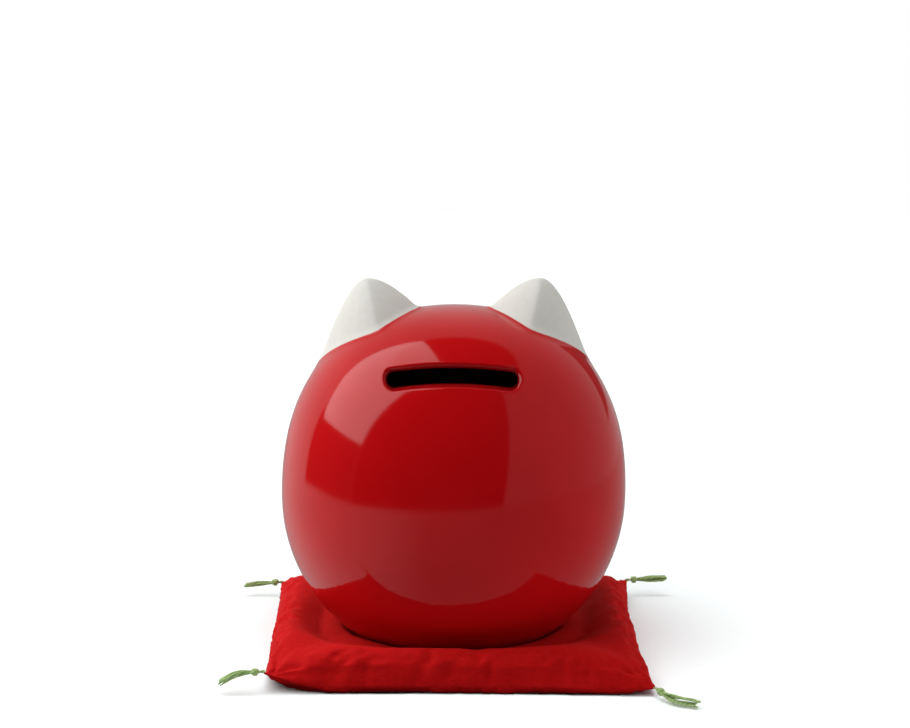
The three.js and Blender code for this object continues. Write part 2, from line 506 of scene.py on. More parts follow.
@dataclass(frozen=True)
class FacePaint:
    """The painted front, in keeping with the plain back: a white face and paws."""

    face_centre: tuple[float, float] = (0.0, 79.5)
    face_half: tuple[float, float] = (32.0, 18.5)
    face_power: float = 2.5
    paws: tuple[tuple[float, float, float, float], ...] = (
        (-33.0, 55.0, 7.6, 9.2),
        (-15.5, 20.0, 8.4, 6.2),
        (15.5, 20.0, 8.4, 6.2),
    )
    inner_ear_top: float = 5.5
    inner_ear_margin: float = 1.2
    inner_ear_share: float = 0.62
    inner_ear_rounding: float = 2.5
    eye_centre: tuple[float, float] = (12.0, 83.5)
    eye_half: tuple[float, float] = (2.4, 3.2)
    nose_centre: tuple[float, float] = (0.0, 77.0)
    nose_half: tuple[float, float] = (2.7, 1.7)
    mouth_centre: tuple[float, float] = (3.1, 74.7)
    mouth_radius: float = 3.1
    stroke: float = 0.8
    whiskers: tuple[tuple[float, float, float, float], ...] = (
        (18.5, 79.0, 28.0, 81.5),
        (19.0, 76.3, 29.0, 76.5),
        (18.5, 73.6, 28.0, 71.5),
    )


@dataclass
class Bank:
    """The hollow ceramic cat: a turned body, two ears, the slot and the hole below."""

    body_radius: float = 55.4
    girth_height: float = 49.9
    crown_rise: float = 60.8
    crown_power: float = 2.38
    belly_drop: float = 54.6
    foot_height: float = 4.3
    foot_rounding: float = 1.8
    wall: float = 4.6
    hole_radius: float = 13.5
    recess_radius: float = 17.5
    recess_depth: float = 2.8
    ear_fillet: float = 2.0
    lean: float = 0.0085
    girth_smoothing: float = 4.0
    paint_offset: float = 0.1
    wave_height: float = 0.09
    wave_pitch: float = 17.0
    columns: int = 256
    row_step: float = 0.6
    lower_rows: int = 86
    chamber_row_step: float = 2.4
    chamber_lower_rows: int = 30
    ear: EarShape = field(default_factory=EarShape)
    slot: CoinSlot = field(default_factory=CoinSlot)
    paint: FacePaint = field(default_factory=FacePaint)

    def __post_init__(self) -> None:
        """Turns the body's outline into a smoothed table of reach by polar angle."""
        self.centre = np.array([0.0, 0.0, self.girth_height])
        angles = np.radians(np.arange(-400, 4001) * 0.05)
        reach = self.plain_reach(np.abs(angles), 0)
        sigma = self.girth_smoothing / 0.05
        taps = np.arange(-int(4 * sigma), int(4 * sigma) + 1)
        kernel = np.exp(-0.5 * (taps / sigma) ** 2)
        margin = len(taps) // 2
        padded = np.pad(reach, margin, mode="edge")
        self.reach_table = np.convolve(padded, kernel / kernel.sum(), mode="valid")
        self.angle_table = angles

    def plain_reach(self, polar: np.ndarray, inset: float) -> np.ndarray:
        """How far the turned outline is from the centre of the girth.

        Args:
            polar: The angles from straight up.
            inset: How far the outline is moved inwards.

        Returns:
            The distances in millimetres.
        """
        across = np.abs(np.sin(polar)) / (self.body_radius - inset)
        rise = np.abs(np.cos(polar))
        above = polar < math.pi / 2
        power = np.where(above, self.crown_power, 2.0)
        upright = rise / np.where(above, self.crown_rise - inset, self.belly_drop - inset)
        return (across**power + upright**power) ** (-1 / power)

    def reach(self, polar: np.ndarray) -> np.ndarray:
        """The body's smoothed reach at polar angles."""
        return np.interp(polar, self.angle_table, self.reach_table)

    def body_distance(self, points: np.ndarray) -> np.ndarray:
        """About how far each point is outside the body without its ears."""
        away = points - self.centre
        away[:, 0] += self.lean * points[:, 2]
        distance = np.linalg.norm(away, axis=1)
        polar = np.arctan2(np.hypot(away[:, 0], away[:, 1]), away[:, 2])
        return distance - self.reach(polar)

    def underside(self, radii: np.ndarray) -> np.ndarray:
        """The height of the belly or foot above the cushion at radii from the middle."""
        part = np.clip(radii / self.body_radius, 0, 1)
        belly = self.girth_height - self.belly_drop * np.sqrt(1 - part**2)
        return np.maximum(belly, self.foot_height)

    def ear_distance(self, points: np.ndarray) -> np.ndarray:
        """About how far each point is outside the nearer ear."""
        return np.minimum(self.ear.distance(points, 1), self.ear.distance(points, -1))

    def outside(self, points: np.ndarray) -> np.ndarray:
        """About how far each point is outside the whole bank."""
        value = self.body_distance(points)
        high = points[:, 2] > self.girth_height + 12
        if high.any():
            value[high] = smooth_min(value[high], self.ear_distance(points[high]), self.ear_fillet)
        return value - self.wave_height * lattice_noise(points, self.wave_pitch, 5)

    def slope(self, points: np.ndarray) -> np.ndarray:
        """The outward direction of the bank's surface at each point."""
        step = 0.02
        sides = [
            self.outside(points + step * axis) - self.outside(points - step * axis) for axis in np.eye(3)
        ]
        return unit(np.column_stack(sides))

    def on_surface(self, azimuth: np.ndarray, polar: np.ndarray) -> np.ndarray:
        """The bank's surface in each direction from the centre of the girth.

        Args:
            azimuth: The angles round the Z axis from +X.
            polar: The angles from straight up.

        Returns:
            One surface point for each direction.
        """
        ray = np.column_stack(
            [np.sin(polar) * np.cos(azimuth), np.sin(polar) * np.sin(azimuth), np.cos(polar)]
        )
        near, far = np.full(len(ray), 30.0), np.full(len(ray), 100.0)
        for _ in range(26):
            middle = (near + far) / 2
            inside = self.outside(self.centre + ray * middle[:, None]) < 0
            near, far = np.where(inside, middle, near), np.where(inside, far, middle)
        return self.centre + ray * near[:, None]

    def lip_centres(self, outline: np.ndarray, walls: np.ndarray) -> np.ndarray:
        """The middles of the ball that rolls along the slot's lip.

        Args:
            outline: The slot's outline as X and Z.
            walls: The direction into the wall at each of its points.

        Returns:
            The ball's places, one lip radius inside the wall and the surface.
        """
        places = outline + self.slot.lip * walls
        near, far = np.full(len(places), 20.0), np.full(len(places), 56.0)
        for _ in range(30):
            depth = (near + far) / 2
            deep = self.outside(np.column_stack([places[:, 0], depth, places[:, 1]]))
            inside = deep < -self.slot.lip
            near, far = np.where(inside, depth, near), np.where(inside, far, depth)
        return np.column_stack([places[:, 0], near, places[:, 1]])

    def foot_profile(self) -> list[tuple[float, float]]:
        """Radius and height of each ring from the belly's foot to the chamber's floor."""
        rounding = self.foot_rounding
        height = self.foot_height + rounding
        radii = np.linspace(10, 50, 4001)
        points = np.column_stack([radii, np.zeros_like(radii), np.full_like(radii, height)])
        middle = radii[np.argmin(np.abs(self.body_distance(points) + rounding))]
        start = self.slope(np.array([[middle, 0.0, height]]))[0]
        first = math.atan2(-start[2], start[0])
        turns = np.linspace(first, math.pi / 2, 9)
        rings = [(middle + rounding * math.cos(t), height - rounding * math.sin(t)) for t in turns]
        foot, recess = self.foot_height, self.foot_height + self.recess_depth
        floor = self.foot_height + self.wall
        rings += [
            (26.0, foot),
            (21.0, foot),
            (self.recess_radius + 0.5, foot),
            (self.recess_radius + 0.12, foot + 0.12),
            (self.recess_radius, foot + 0.5),
            (self.recess_radius, recess - 0.3),
            (self.recess_radius - 0.3, recess),
            (self.hole_radius + 0.4, recess),
            (self.hole_radius, recess + 0.4),
            (self.hole_radius, floor - 0.4),
            (self.hole_radius + 0.4, floor),
            (20.0, floor),
        ]
        return rings

    def masks(self, points: np.ndarray) -> dict[Mask, np.ndarray]:
        """The painted areas at the bank's points.

        Args:
            points: The points in millimetres.

        Returns:
            For each area, how far inside its edge each point is.
        """
        paint, ear = self.paint, self.ear
        x, y, z = points.T
        ear_part = self.body_distance(points) - self.ear_distance(points) + self.paint_offset
        ear_part = np.where(z > self.girth_height + 12, ear_part, -20.0)
        (cx, cz), (hx, hz), power = paint.face_centre, paint.face_half, paint.face_power
        gauge = (np.abs((x - cx) / hx) ** power + np.abs((z - cz) / hz) ** power) ** (1 / power)
        face = np.minimum((1 - gauge) * hz, -4 - y)
        paw = np.full(len(points), -20.0)
        for px, pz, wide, tall in paint.paws:
            part = 1 - np.hypot((x - px) / wide, (z - pz) / tall)
            paw = np.maximum(paw, np.minimum(part * min(wide, tall), -y))
        low = np.minimum(ear_part - paint.inner_ear_margin, ear.tip[1] - 1 - y)
        inner = np.full(len(points), -20.0)
        for side in (1, -1):
            wide = paint.inner_ear_share * ear.half_width(points, side)
            wide = wide - np.abs(ear.across(points, side))
            part = smooth_min(wide, ear.depth(points) - paint.inner_ear_top, paint.inner_ear_rounding)
            inner = np.maximum(inner, smooth_min(part, low, paint.inner_ear_rounding))
        return {Mask.BISQUE: np.maximum(ear_part, face), Mask.PAWS: paw, Mask.INNER_EAR: inner}

    def build(self) -> bpy.types.Object:
        """Builds the bank as one closed mesh with its masks.

        Returns:
            The bank's object.
        """
        maker = GlazedMesh()
        azimuth = np.arange(self.columns) * 2 * math.pi / self.columns
        block = np.radians(np.linspace(*self.slot.block, self.slot.side_parts + 1))
        rings = self.foot_profile()
        last = math.pi - math.atan2(rings[0][0], self.girth_height - rings[0][1])
        upper = np.radians(np.arange(self.row_step, self.slot.block[0] - 0.1, self.row_step))
        rows = np.concatenate([upper, block, np.linspace(block[-1], last, self.lower_rows)[1:-1]])
        skin = self.add_skin(maker, azimuth, rows, len(upper))
        slot_end = self.add_collar(maker, azimuth, rows, skin, len(upper))
        floor_edge = self.add_foot(maker, azimuth, rings, skin[-1])
        self.add_chamber(maker, azimuth, block, floor_edge, slot_end)

        piece = maker.make("bank", np.vstack(maker.normals))
        values = {mask.value: value for mask, value in self.masks(np.vstack(maker.points)).items()}
        values |= {share.value: np.concatenate(parts) for share, parts in maker.shares.items()}
        for name, value in values.items():
            layer = piece.data.attributes.new(name, "FLOAT", "POINT")
            layer.data.foreach_set("value", value.astype(np.float32))
        return piece

    def block_columns(self) -> tuple[int, int]:
        """The first and last column of the block that is left out round the slot."""
        left = self.columns // 4 - self.slot.long_parts // 2
        return left, left + self.slot.long_parts

    def add_skin(
        self, maker: GlazedMesh, azimuth: np.ndarray, rows: np.ndarray, first_row: int
    ) -> np.ndarray:
        """Adds the outer surface down to the foot, with a block left out for the slot.

        Args:
            maker: The bank's mesh.
            azimuth: The columns' angles round the Z axis.
            rows: The rows' angles from straight up.
            first_row: The block's first row.

        Returns:
            The point numbers, one row for each ring.
        """
        rings = [self.on_surface(azimuth, np.full(self.columns, lean)) for lean in rows]
        skin = np.array([maker.lay(ring, self.slope(ring)) for ring in rings])
        self.grid_faces(maker, skin, first_row)
        crown = maker.lay(self.on_surface(np.zeros(1), np.full(1, 1e-6)), np.array([0.0, 0.0, 1.0]))
        maker.fan(skin[0], int(crown[0]))
        return skin

    def add_collar(
        self,
        maker: GlazedMesh,
        azimuth: np.ndarray,
        rows: np.ndarray,
        skin: np.ndarray,
        first_row: int,
    ) -> np.ndarray:
        """Adds the slot: over the surface, round the lip and along the wall.

        Args:
            maker: The bank's mesh.
            azimuth: The columns' angles round the Z axis.
            rows: The rows' angles from straight up.
            skin: The outer surface's point numbers.
            first_row: The row of the outer surface where the block starts.

        Returns:
            The loop where the slot's wall meets the chamber.
        """
        outline, walls = self.slot.outline()
        into_slot = np.column_stack([-walls[:, 0], np.zeros(len(walls)), -walls[:, 1]])
        centres = self.lip_centres(outline, walls)
        outwards = self.slope(centres)
        rim = centres + self.slot.lip * outwards
        away = rim - self.centre
        rim_turn = np.arctan2(away[:, 1], away[:, 0])
        rim_lean = np.arctan2(np.hypot(away[:, 0], away[:, 1]), away[:, 2])
        turns, leans = np.meshgrid(azimuth, rows)
        edge_turn = self.block_edge(turns, first_row)
        edge_lean = self.block_edge(leans, first_row)
        loop = self.block_edge(skin, first_row)
        for part in np.linspace(0, 1, 9)[1:]:
            turn = edge_turn + (rim_turn - edge_turn) * part
            lean = edge_lean + (rim_lean - edge_lean) * part
            points = self.on_surface(turn, lean) if part < 1 else rim
            inner = maker.lay(points, self.slope(points))
            maker.bridge(loop, inner)
            loop = inner
        spread = np.arccos(np.clip(np.sum(outwards * into_slot, axis=1), -1, 1))[:, None]
        # Painted shade: the lip and wall inside the slot are darkened, fully on the upper side and less on
        # the sill.
        shaded_share = 1 - (1 - self.slot.sill_shade) * np.clip(into_slot[:, 2], 0, 1)
        for part in np.linspace(0, 1, 11)[1:]:
            towards = unit(np.sin((1 - part) * spread) * outwards + np.sin(part * spread) * into_slot)
            shares = {Share.SLOT_SHADE: part * shaded_share}
            inner = maker.lay(centres + self.slot.lip * towards, towards, shares)
            maker.bridge(loop, inner)
            loop = inner
        wall_end = np.sqrt(self.chamber_radius(outline[:, 1]) ** 2 - outline[:, 0] ** 2)
        for part in np.linspace(0, 1, 6)[1:]:
            depth = centres[:, 1] + (wall_end - centres[:, 1]) * part
            points = np.column_stack([outline[:, 0], depth, outline[:, 1]])
            inner = maker.lay(points, into_slot, {Share.SLOT_SHADE: shaded_share})
            maker.bridge(loop, inner)
            loop = inner
        return loop

    def add_foot(
        self, maker: GlazedMesh, azimuth: np.ndarray, rings: list[tuple[float, float]], ring: np.ndarray
    ) -> np.ndarray:
        """Adds the foot, the stepped hole and the start of the chamber's floor.

        Args:
            maker: The bank's mesh.
            azimuth: The columns' angles round the Z axis.
            rings: Radius and height of each ring.
            ring: The outer surface's lowest loop.

        Returns:
            The last loop, on the chamber's floor.
        """
        for radius, height in rings:
            points = np.column_stack(
                [radius * np.cos(azimuth), radius * np.sin(azimuth), np.full(self.columns, height)]
            )
            bare = 1.0 if height < self.foot_height + 0.01 or radius < self.recess_radius + 0.6 else 0.0
            inner = maker.lay(points, np.zeros(3), {Share.BARE: bare})
            maker.bridge(ring, inner)
            ring = inner
        return ring

    def add_chamber(
        self,
        maker: GlazedMesh,
        azimuth: np.ndarray,
        block: np.ndarray,
        floor_edge: np.ndarray,
        slot_end: np.ndarray,
    ) -> None:
        """Adds the chamber, whose clay is bare, and joins it to the slot and the hole.

        Args:
            maker: The bank's mesh.
            azimuth: The columns' angles round the Z axis.
            block: The rows' angles beside the slot.
            floor_edge: The loop on the chamber's floor round the hole.
            slot_end: The loop where the slot's wall ends.
        """
        bare = {Share.BARE: 1.0}
        floor_height = self.foot_height + self.wall
        reach = self.chamber_radius(np.array([floor_height]))[0]
        last = math.pi - math.atan2(reach, self.girth_height - floor_height)
        upper = np.arange(self.chamber_row_step, self.slot.block[0] - 0.1, self.chamber_row_step)
        rows = np.concatenate(
            [np.radians(upper), block, np.linspace(block[-1], last, self.chamber_lower_rows)[1:]]
        )
        loops = []
        for lean, reach in zip(rows, self.plain_reach(rows, self.wall)):
            level, height = math.sin(lean) * reach, math.cos(lean) * reach
            ring = [level * np.cos(azimuth), level * np.sin(azimuth), np.full(self.columns, height)]
            loops.append(maker.lay(self.centre + np.column_stack(ring), np.zeros(3), bare))
        chamber = np.array(loops)
        self.grid_faces(maker, chamber, len(upper))
        maker.bridge(floor_edge, chamber[-1])
        vault = maker.lay(self.centre + (0.0, 0.0, self.crown_rise - self.wall), np.zeros(3), bare)
        maker.fan(chamber[0], int(vault[0]))
        maker.bridge(slot_end, self.block_edge(chamber, len(upper)))

    def chamber_radius(self, heights: np.ndarray) -> np.ndarray:
        """The chamber's radius at heights."""
        rise = heights - self.girth_height
        power = np.where(rise > 0, self.crown_power, 2.0)
        reach = np.where(rise > 0, self.crown_rise, self.belly_drop) - self.wall
        part = np.minimum(np.abs(rise) / reach, 1)
        return (self.body_radius - self.wall) * (1 - part**power) ** (1 / power)

    def grid_faces(self, maker: MeshMaker, grid: np.ndarray, first: int) -> None:
        """Joins a grid of rings, leaving out the block round the slot.

        Args:
            maker: The mesh that gets the faces.
            grid: The point numbers, one row for each ring.
            first: The block's first row.
        """
        left, right = self.block_columns()
        after = np.roll(grid, -1, axis=1)
        for row in range(len(grid) - 1):
            in_block = first <= row < first + self.slot.side_parts
            for column in range(self.columns):
                if in_block and left <= column < right:
                    continue
                maker.face(
                    (grid[row, column], grid[row + 1, column], after[row + 1, column], after[row, column])
                )

    def block_edge(self, grid: np.ndarray, first: int) -> np.ndarray:
        """Picks the loop of a grid's values round the block, from its first corner."""
        last = first + self.slot.side_parts
        left, right = self.block_columns()
        return np.concatenate(
            [
                grid[first, left:right],
                grid[first:last, right],
                grid[last, right:left:-1],
                grid[last:first:-1, left],
            ]
        )


@dataclass(frozen=True)
class DippedGlaze:
    """Slip-cast stoneware dipped in a glossy red glaze, with matt white on ears and face.

    The glaze is glassy, so it mirrors the softboxes with sharp edges and only a faint
    waviness. Inside the slot its colour is darkened to a maroon as painted shade, most on
    the upper lip and wall and least on the sill. The white parts are unglazed and powdery,
    so they only scatter light. The chamber and the foot are bare clay.
    """

    red: str = "C80E13"
    red_deep: str = "B60B10"
    # The colour of the painted shade inside the slot.
    slot_shade_colour: str = "4A0406"
    white: str = "DFDED8"
    white_shade: str = "D6D4CC"
    pink: str = "D8948A"
    ink: str = "1B1613"
    nose: str = "A5413A"
    clay: str = "B9A48C"
    glaze_roughness: float = 0.085
    bisque_roughness: float = 0.72
    specular_level: float = 0.23
    refraction: float = 1.5
    edge_softness: float = 0.16
    edge_wander: float = 0.35
    wander_pitch: float = 7.0
    cloud_pitch: float = 22.0
    powder_pitch: float = 2.2
    ripple_pitch: float = 9.0
    ripple_height: float = 0.012
    grain_pitch: float = 0.55
    grain_height: float = 0.05

    def material(self, paint: FacePaint) -> bpy.types.Material:
        """Makes the bank's material.

        Args:
            paint: The places of the painted features.

        Returns:
            The material.
        """
        material, tree = new_material("glossy_red_glaze_and_matt_bisque")
        place = add_node(tree, "ShaderNodeTexCoord").outputs["Object"]
        axes = add_node(tree, "ShaderNodeSeparateXYZ", links={0: place}).outputs
        wander, cloud, powder = [
            add_node(
                tree,
                "ShaderNodeTexNoise",
                links={"Vector": place, "Scale": per_metre(pitch), "Detail": 3.0},
            ).outputs[0]
            for pitch in (self.wander_pitch, self.cloud_pitch, self.powder_pitch)
        ]
        white, paws, inner_ear = [
            self.painted_area(tree, mask, wander) for mask in (Mask.BISQUE, Mask.PAWS, Mask.INNER_EAR)
        ]
        shaded_share, bare = [
            add_node(tree, "ShaderNodeAttribute", {"attribute_name": share.value}).outputs["Fac"]
            for share in (Share.SLOT_SHADE, Share.BARE)
        ]
        pale = add_node(tree, "ShaderNodeMath", {"operation": "MAXIMUM"}, {0: white, 1: paws}).outputs[0]
        dry = add_node(tree, "ShaderNodeMath", {"operation": "MAXIMUM"}, {0: white, 1: bare}).outputs[0]
        ink, nose = self.painted_features(tree, axes, paint)

        red = add_node(
            tree,
            "ShaderNodeMix",
            {"data_type": "RGBA"},
            {0: cloud, 6: linear(self.red), 7: linear(self.red_deep)},
        ).outputs[2]
        bisque = add_node(
            tree,
            "ShaderNodeMix",
            {"data_type": "RGBA"},
            {0: powder, 6: linear(self.white), 7: linear(self.white_shade)},
        ).outputs[2]
        colour = red
        for share, coat in (
            (pale, bisque),
            (inner_ear, linear(self.pink)),
            (nose, linear(self.nose)),
            (ink, linear(self.ink)),
            # Painted shade darkens the lip and wall inside the slot.
            (shaded_share, linear(self.slot_shade_colour)),
            (bare, linear(self.clay)),
        ):
            colour = add_node(
                tree, "ShaderNodeMix", {"data_type": "RGBA"}, {0: share, 6: colour, 7: coat}
            ).outputs[2]
        roughness = add_node(
            tree,
            "ShaderNodeMapRange",
            links={"Value": dry, "To Min": self.glaze_roughness, "To Max": self.bisque_roughness},
        ).outputs[0]
        finish_surface(
            tree,
            {
                "Base Color": colour,
                "Roughness": roughness,
                "IOR": self.refraction,
                "Specular IOR Level": self.specular_level,
                "Normal": self.relief(tree, place, dry),
            },
        )
        return material

    def painted_area(
        self, tree: bpy.types.NodeTree, mask: Mask, wander: bpy.types.NodeSocket
    ) -> bpy.types.NodeSocket:
        """The share of a painted area, with an edge that wanders as a brush does.

        Args:
            tree: The material's node tree.
            mask: The area.
            wander: Noise that moves the edge.

        Returns:
            0 outside the area and 1 inside it.
        """
        edge = add_node(tree, "ShaderNodeAttribute", {"attribute_name": mask.value}).outputs["Fac"]
        moved = add_node(
            tree,
            "ShaderNodeMath",
            {"operation": "MULTIPLY_ADD"},
            {0: wander, 1: self.edge_wander, 2: edge},
        ).outputs[0]
        middle, soft = self.edge_wander / 2, self.edge_softness
        return add_node(
            tree,
            "ShaderNodeMapRange",
            links={"Value": moved, "From Min": middle - soft, "From Max": middle + soft},
        ).outputs[0]

    def relief(
        self, tree: bpy.types.NodeTree, place: bpy.types.NodeSocket, dry: bpy.types.NodeSocket
    ) -> bpy.types.NodeSocket:
        """Gives the glaze a faint waviness and the bisque its powdery grain.

        Args:
            tree: The material's node tree.
            place: The surface's place.
            dry: The share of surface without glaze.

        Returns:
            The bent normal.
        """
        heights = []
        for pitch, tall in ((self.ripple_pitch, self.ripple_height), (self.grain_pitch, self.grain_height)):
            bumps = add_node(
                tree,
                "ShaderNodeTexNoise",
                links={"Vector": place, "Scale": per_metre(pitch), "Detail": 2.0},
            ).outputs[0]
            heights.append(
                add_node(
                    tree, "ShaderNodeMath", {"operation": "MULTIPLY"}, {0: bumps, 1: tall}
                ).outputs[0]
            )
        height = add_node(
            tree, "ShaderNodeMix", {"data_type": "FLOAT"}, {0: dry, 2: heights[0], 3: heights[1]}
        ).outputs[0]
        return add_node(
            tree, "ShaderNodeBump", links={"Strength": 1.0, "Distance": MM, "Height": height}
        ).outputs["Normal"]

    def painted_features(
        self, tree: bpy.types.NodeTree, axes: Mapping[str, bpy.types.NodeSocket], paint: FacePaint
    ) -> list[bpy.types.NodeSocket]:
        """Draws the eyes, mouth and whiskers in ink, and the nose, on the front alone.

        Args:
            tree: The material's node tree.
            axes: The surface place's X, Y and Z in metres.
            paint: The places of the features.

        Returns:
            The ink's share and the nose's share.
        """
        side = add_node(tree, "ShaderNodeMath", {"operation": "ABSOLUTE"}, {0: axes["X"]}).outputs[0]
        flat = add_node(tree, "ShaderNodeCombineXYZ", links={"X": side, "Z": axes["Z"]}).outputs[0]
        gaps = [self.whisker_gap(tree, flat, whisker) for whisker in paint.whiskers]
        gaps.append(self.mouth_gap(tree, flat, axes["Z"], paint))
        ink = self.filled_oval(tree, flat, paint.eye_centre, paint.eye_half)
        wide, narrow = (paint.stroke / 2 + 0.1) * MM, (paint.stroke / 2 - 0.1) * MM
        for gap in gaps:
            stroke = add_node(
                tree, "ShaderNodeMapRange", links={"Value": gap, "From Min": wide, "From Max": narrow}
            ).outputs[0]
            ink = add_node(
                tree, "ShaderNodeMath", {"operation": "MAXIMUM"}, {0: ink, 1: stroke}
            ).outputs[0]
        nose = self.filled_oval(tree, flat, paint.nose_centre, paint.nose_half)
        front = add_node(
            tree, "ShaderNodeMath", {"operation": "LESS_THAN"}, {0: axes["Y"], 1: 0.0}
        ).outputs[0]
        return [
            add_node(tree, "ShaderNodeMath", {"operation": "MULTIPLY"}, {0: share, 1: front}).outputs[0]
            for share in (ink, nose)
        ]

    def whisker_gap(
        self,
        tree: bpy.types.NodeTree,
        flat: bpy.types.NodeSocket,
        whisker: tuple[float, float, float, float],
    ) -> bpy.types.NodeSocket:
        """How far the surface is from a whisker's straight stroke.

        Args:
            tree: The material's node tree.
            flat: The surface's place seen from the front.
            whisker: X and Z of the stroke's start and end.

        Returns:
            The distance in metres.
        """
        x0, z0, x1, z1 = whisker
        start, run = np.array([x0, 0, z0]) * MM, np.array([x1 - x0, 0, z1 - z0]) * MM
        away = add_node(
            tree, "ShaderNodeVectorMath", {"operation": "SUBTRACT"}, {0: flat, 1: start}
        ).outputs["Vector"]
        part = add_node(
            tree, "ShaderNodeVectorMath", {"operation": "DOT_PRODUCT"}, {0: away, 1: run / (run @ run)}
        ).outputs["Value"]
        part = add_node(tree, "ShaderNodeClamp", links={"Value": part}).outputs[0]
        near = add_node(
            tree, "ShaderNodeVectorMath", {"operation": "SCALE"}, {0: Vector(run), "Scale": part}
        ).outputs["Vector"]
        return add_node(
            tree, "ShaderNodeVectorMath", {"operation": "DISTANCE"}, {0: away, 1: near}
        ).outputs["Value"]

    def mouth_gap(
        self,
        tree: bpy.types.NodeTree,
        flat: bpy.types.NodeSocket,
        height: bpy.types.NodeSocket,
        paint: FacePaint,
    ) -> bpy.types.NodeSocket:
        """How far the surface is from the mouth's two hanging arcs.

        Args:
            tree: The material's node tree.
            flat: The surface's place seen from the front.
            height: The surface's height.
            paint: The place and radius of the arcs.

        Returns:
            The distance in metres.
        """
        x, z = paint.mouth_centre
        ring = add_node(
            tree, "ShaderNodeVectorMath", {"operation": "DISTANCE"}, {0: flat, 1: (x * MM, 0, z * MM)}
        ).outputs["Value"]
        off = add_node(
            tree, "ShaderNodeMath", {"operation": "SUBTRACT"}, {0: ring, 1: paint.mouth_radius * MM}
        ).outputs[0]
        off = add_node(tree, "ShaderNodeMath", {"operation": "ABSOLUTE"}, {0: off}).outputs[0]
        above = add_node(
            tree, "ShaderNodeMath", {"operation": "SUBTRACT"}, {0: height, 1: z * MM}
        ).outputs[0]
        return add_node(tree, "ShaderNodeMath", {"operation": "MAXIMUM"}, {0: off, 1: above}).outputs[0]

    def filled_oval(
        self,
        tree: bpy.types.NodeTree,
        flat: bpy.types.NodeSocket,
        centre: tuple[float, float],
        half: tuple[float, float],
    ) -> bpy.types.NodeSocket:
        """The share of a painted oval.

        Args:
            tree: The material's node tree.
            flat: The surface's place seen from the front.
            centre: The oval's X and Z.
            half: Its half width and half height.

        Returns:
            1 inside the oval and 0 outside it.
        """
        middle = (centre[0] * MM, 0, centre[1] * MM)
        away = add_node(
            tree, "ShaderNodeVectorMath", {"operation": "SUBTRACT"}, {0: flat, 1: middle}
        ).outputs["Vector"]
        scale = (1 / (half[0] * MM), 0, 1 / (half[1] * MM))
        scaled = add_node(
            tree, "ShaderNodeVectorMath", {"operation": "MULTIPLY"}, {0: away, 1: scale}
        ).outputs["Vector"]
        gauge = add_node(
            tree, "ShaderNodeVectorMath", {"operation": "LENGTH"}, {0: scaled}
        ).outputs["Value"]
        return add_node(
            tree, "ShaderNodeMapRange", links={"Value": gauge, "From Min": 1.06, "From Max": 0.94}
        ).outputs[0]


@dataclass(frozen=True)
class CrepeFabric:
    """Rayon crepe: overtwisted weft shrinks the cloth into a fine pebbled crinkle.

    The crinkle breaks the light into a soft matt glow, with a little sheen where the
    cloth turns away. Its hollows are also painted a deeper red as shade, mixed with
    random blotches.
    """

    red: str = "D61113"
    # The crinkle's hollows, painted darker as shade, and the darker random blotches.
    red_deep: str = "B6090C"
    crinkle_pitch: float = 1.15
    crinkle_height: float = 0.16
    weave_pitch: float = 0.5
    weave_height: float = 0.05
    roughness: float = 0.85
    sheen: float = 0.06
    sheen_tint: str = "FF5040"

    def material(self) -> bpy.types.Material:
        """Makes the cushion's material.

        Returns:
            The material.
        """
        material, tree = new_material("crinkled_red_crepe")
        place = add_node(tree, "ShaderNodeTexCoord").outputs["Object"]
        stretched = add_node(
            tree,
            "ShaderNodeMapping",
            {"vector_type": "POINT"},
            {"Vector": place, "Scale": (0.62, 1.0, 1.0)},
        ).outputs["Vector"]
        crinkle = add_node(
            tree,
            "ShaderNodeTexNoise",
            links={
                "Vector": stretched,
                "Scale": per_metre(self.crinkle_pitch),
                "Detail": 3.0,
                "Distortion": 0.6,
            },
        ).outputs[0]
        thread = add_node(
            tree,
            "ShaderNodeTexVoronoi",
            links={"Vector": place, "Scale": per_metre(self.weave_pitch)},
        ).outputs["Distance"]
        cloud = add_node(
            tree, "ShaderNodeTexNoise", links={"Vector": place, "Scale": per_metre(14.0), "Detail": 2.0}
        ).outputs[0]
        # Painted shade: darker in the crinkle's hollows, where the bump is also low, mixed with random
        # blotches.
        hollow_shade_and_tone = add_node(
            tree, "ShaderNodeMath", {"operation": "MULTIPLY_ADD"}, {0: crinkle, 1: 1.4, 2: -0.35}
        ).outputs[0]
        hollow_shade_and_tone = add_node(
            tree, "ShaderNodeMix", {"data_type": "FLOAT"}, {0: 0.4, 2: hollow_shade_and_tone, 3: cloud}
        ).outputs[0]
        colour = add_node(
            tree,
            "ShaderNodeMix",
            {"data_type": "RGBA"},
            {0: hollow_shade_and_tone, 6: linear(self.red_deep), 7: linear(self.red)},
        ).outputs[2]
        folds = add_node(
            tree, "ShaderNodeMath", {"operation": "MULTIPLY"}, {0: crinkle, 1: self.crinkle_height}
        ).outputs[0]
        height = add_node(
            tree,
            "ShaderNodeMath",
            {"operation": "MULTIPLY_ADD"},
            {0: thread, 1: -self.weave_height, 2: folds},
        ).outputs[0]
        bump = add_node(
            tree, "ShaderNodeBump", links={"Strength": 1.0, "Distance": MM, "Height": height}
        ).outputs["Normal"]
        finish_surface(
            tree,
            {
                "Base Color": colour,
                "Roughness": self.roughness,
                "Specular IOR Level": 0.1,
                "Sheen Weight": self.sheen,
                "Sheen Roughness": 0.45,
                "Sheen Tint": linear(self.sheen_tint),
                "Normal": bump,
            },
        )
        return material


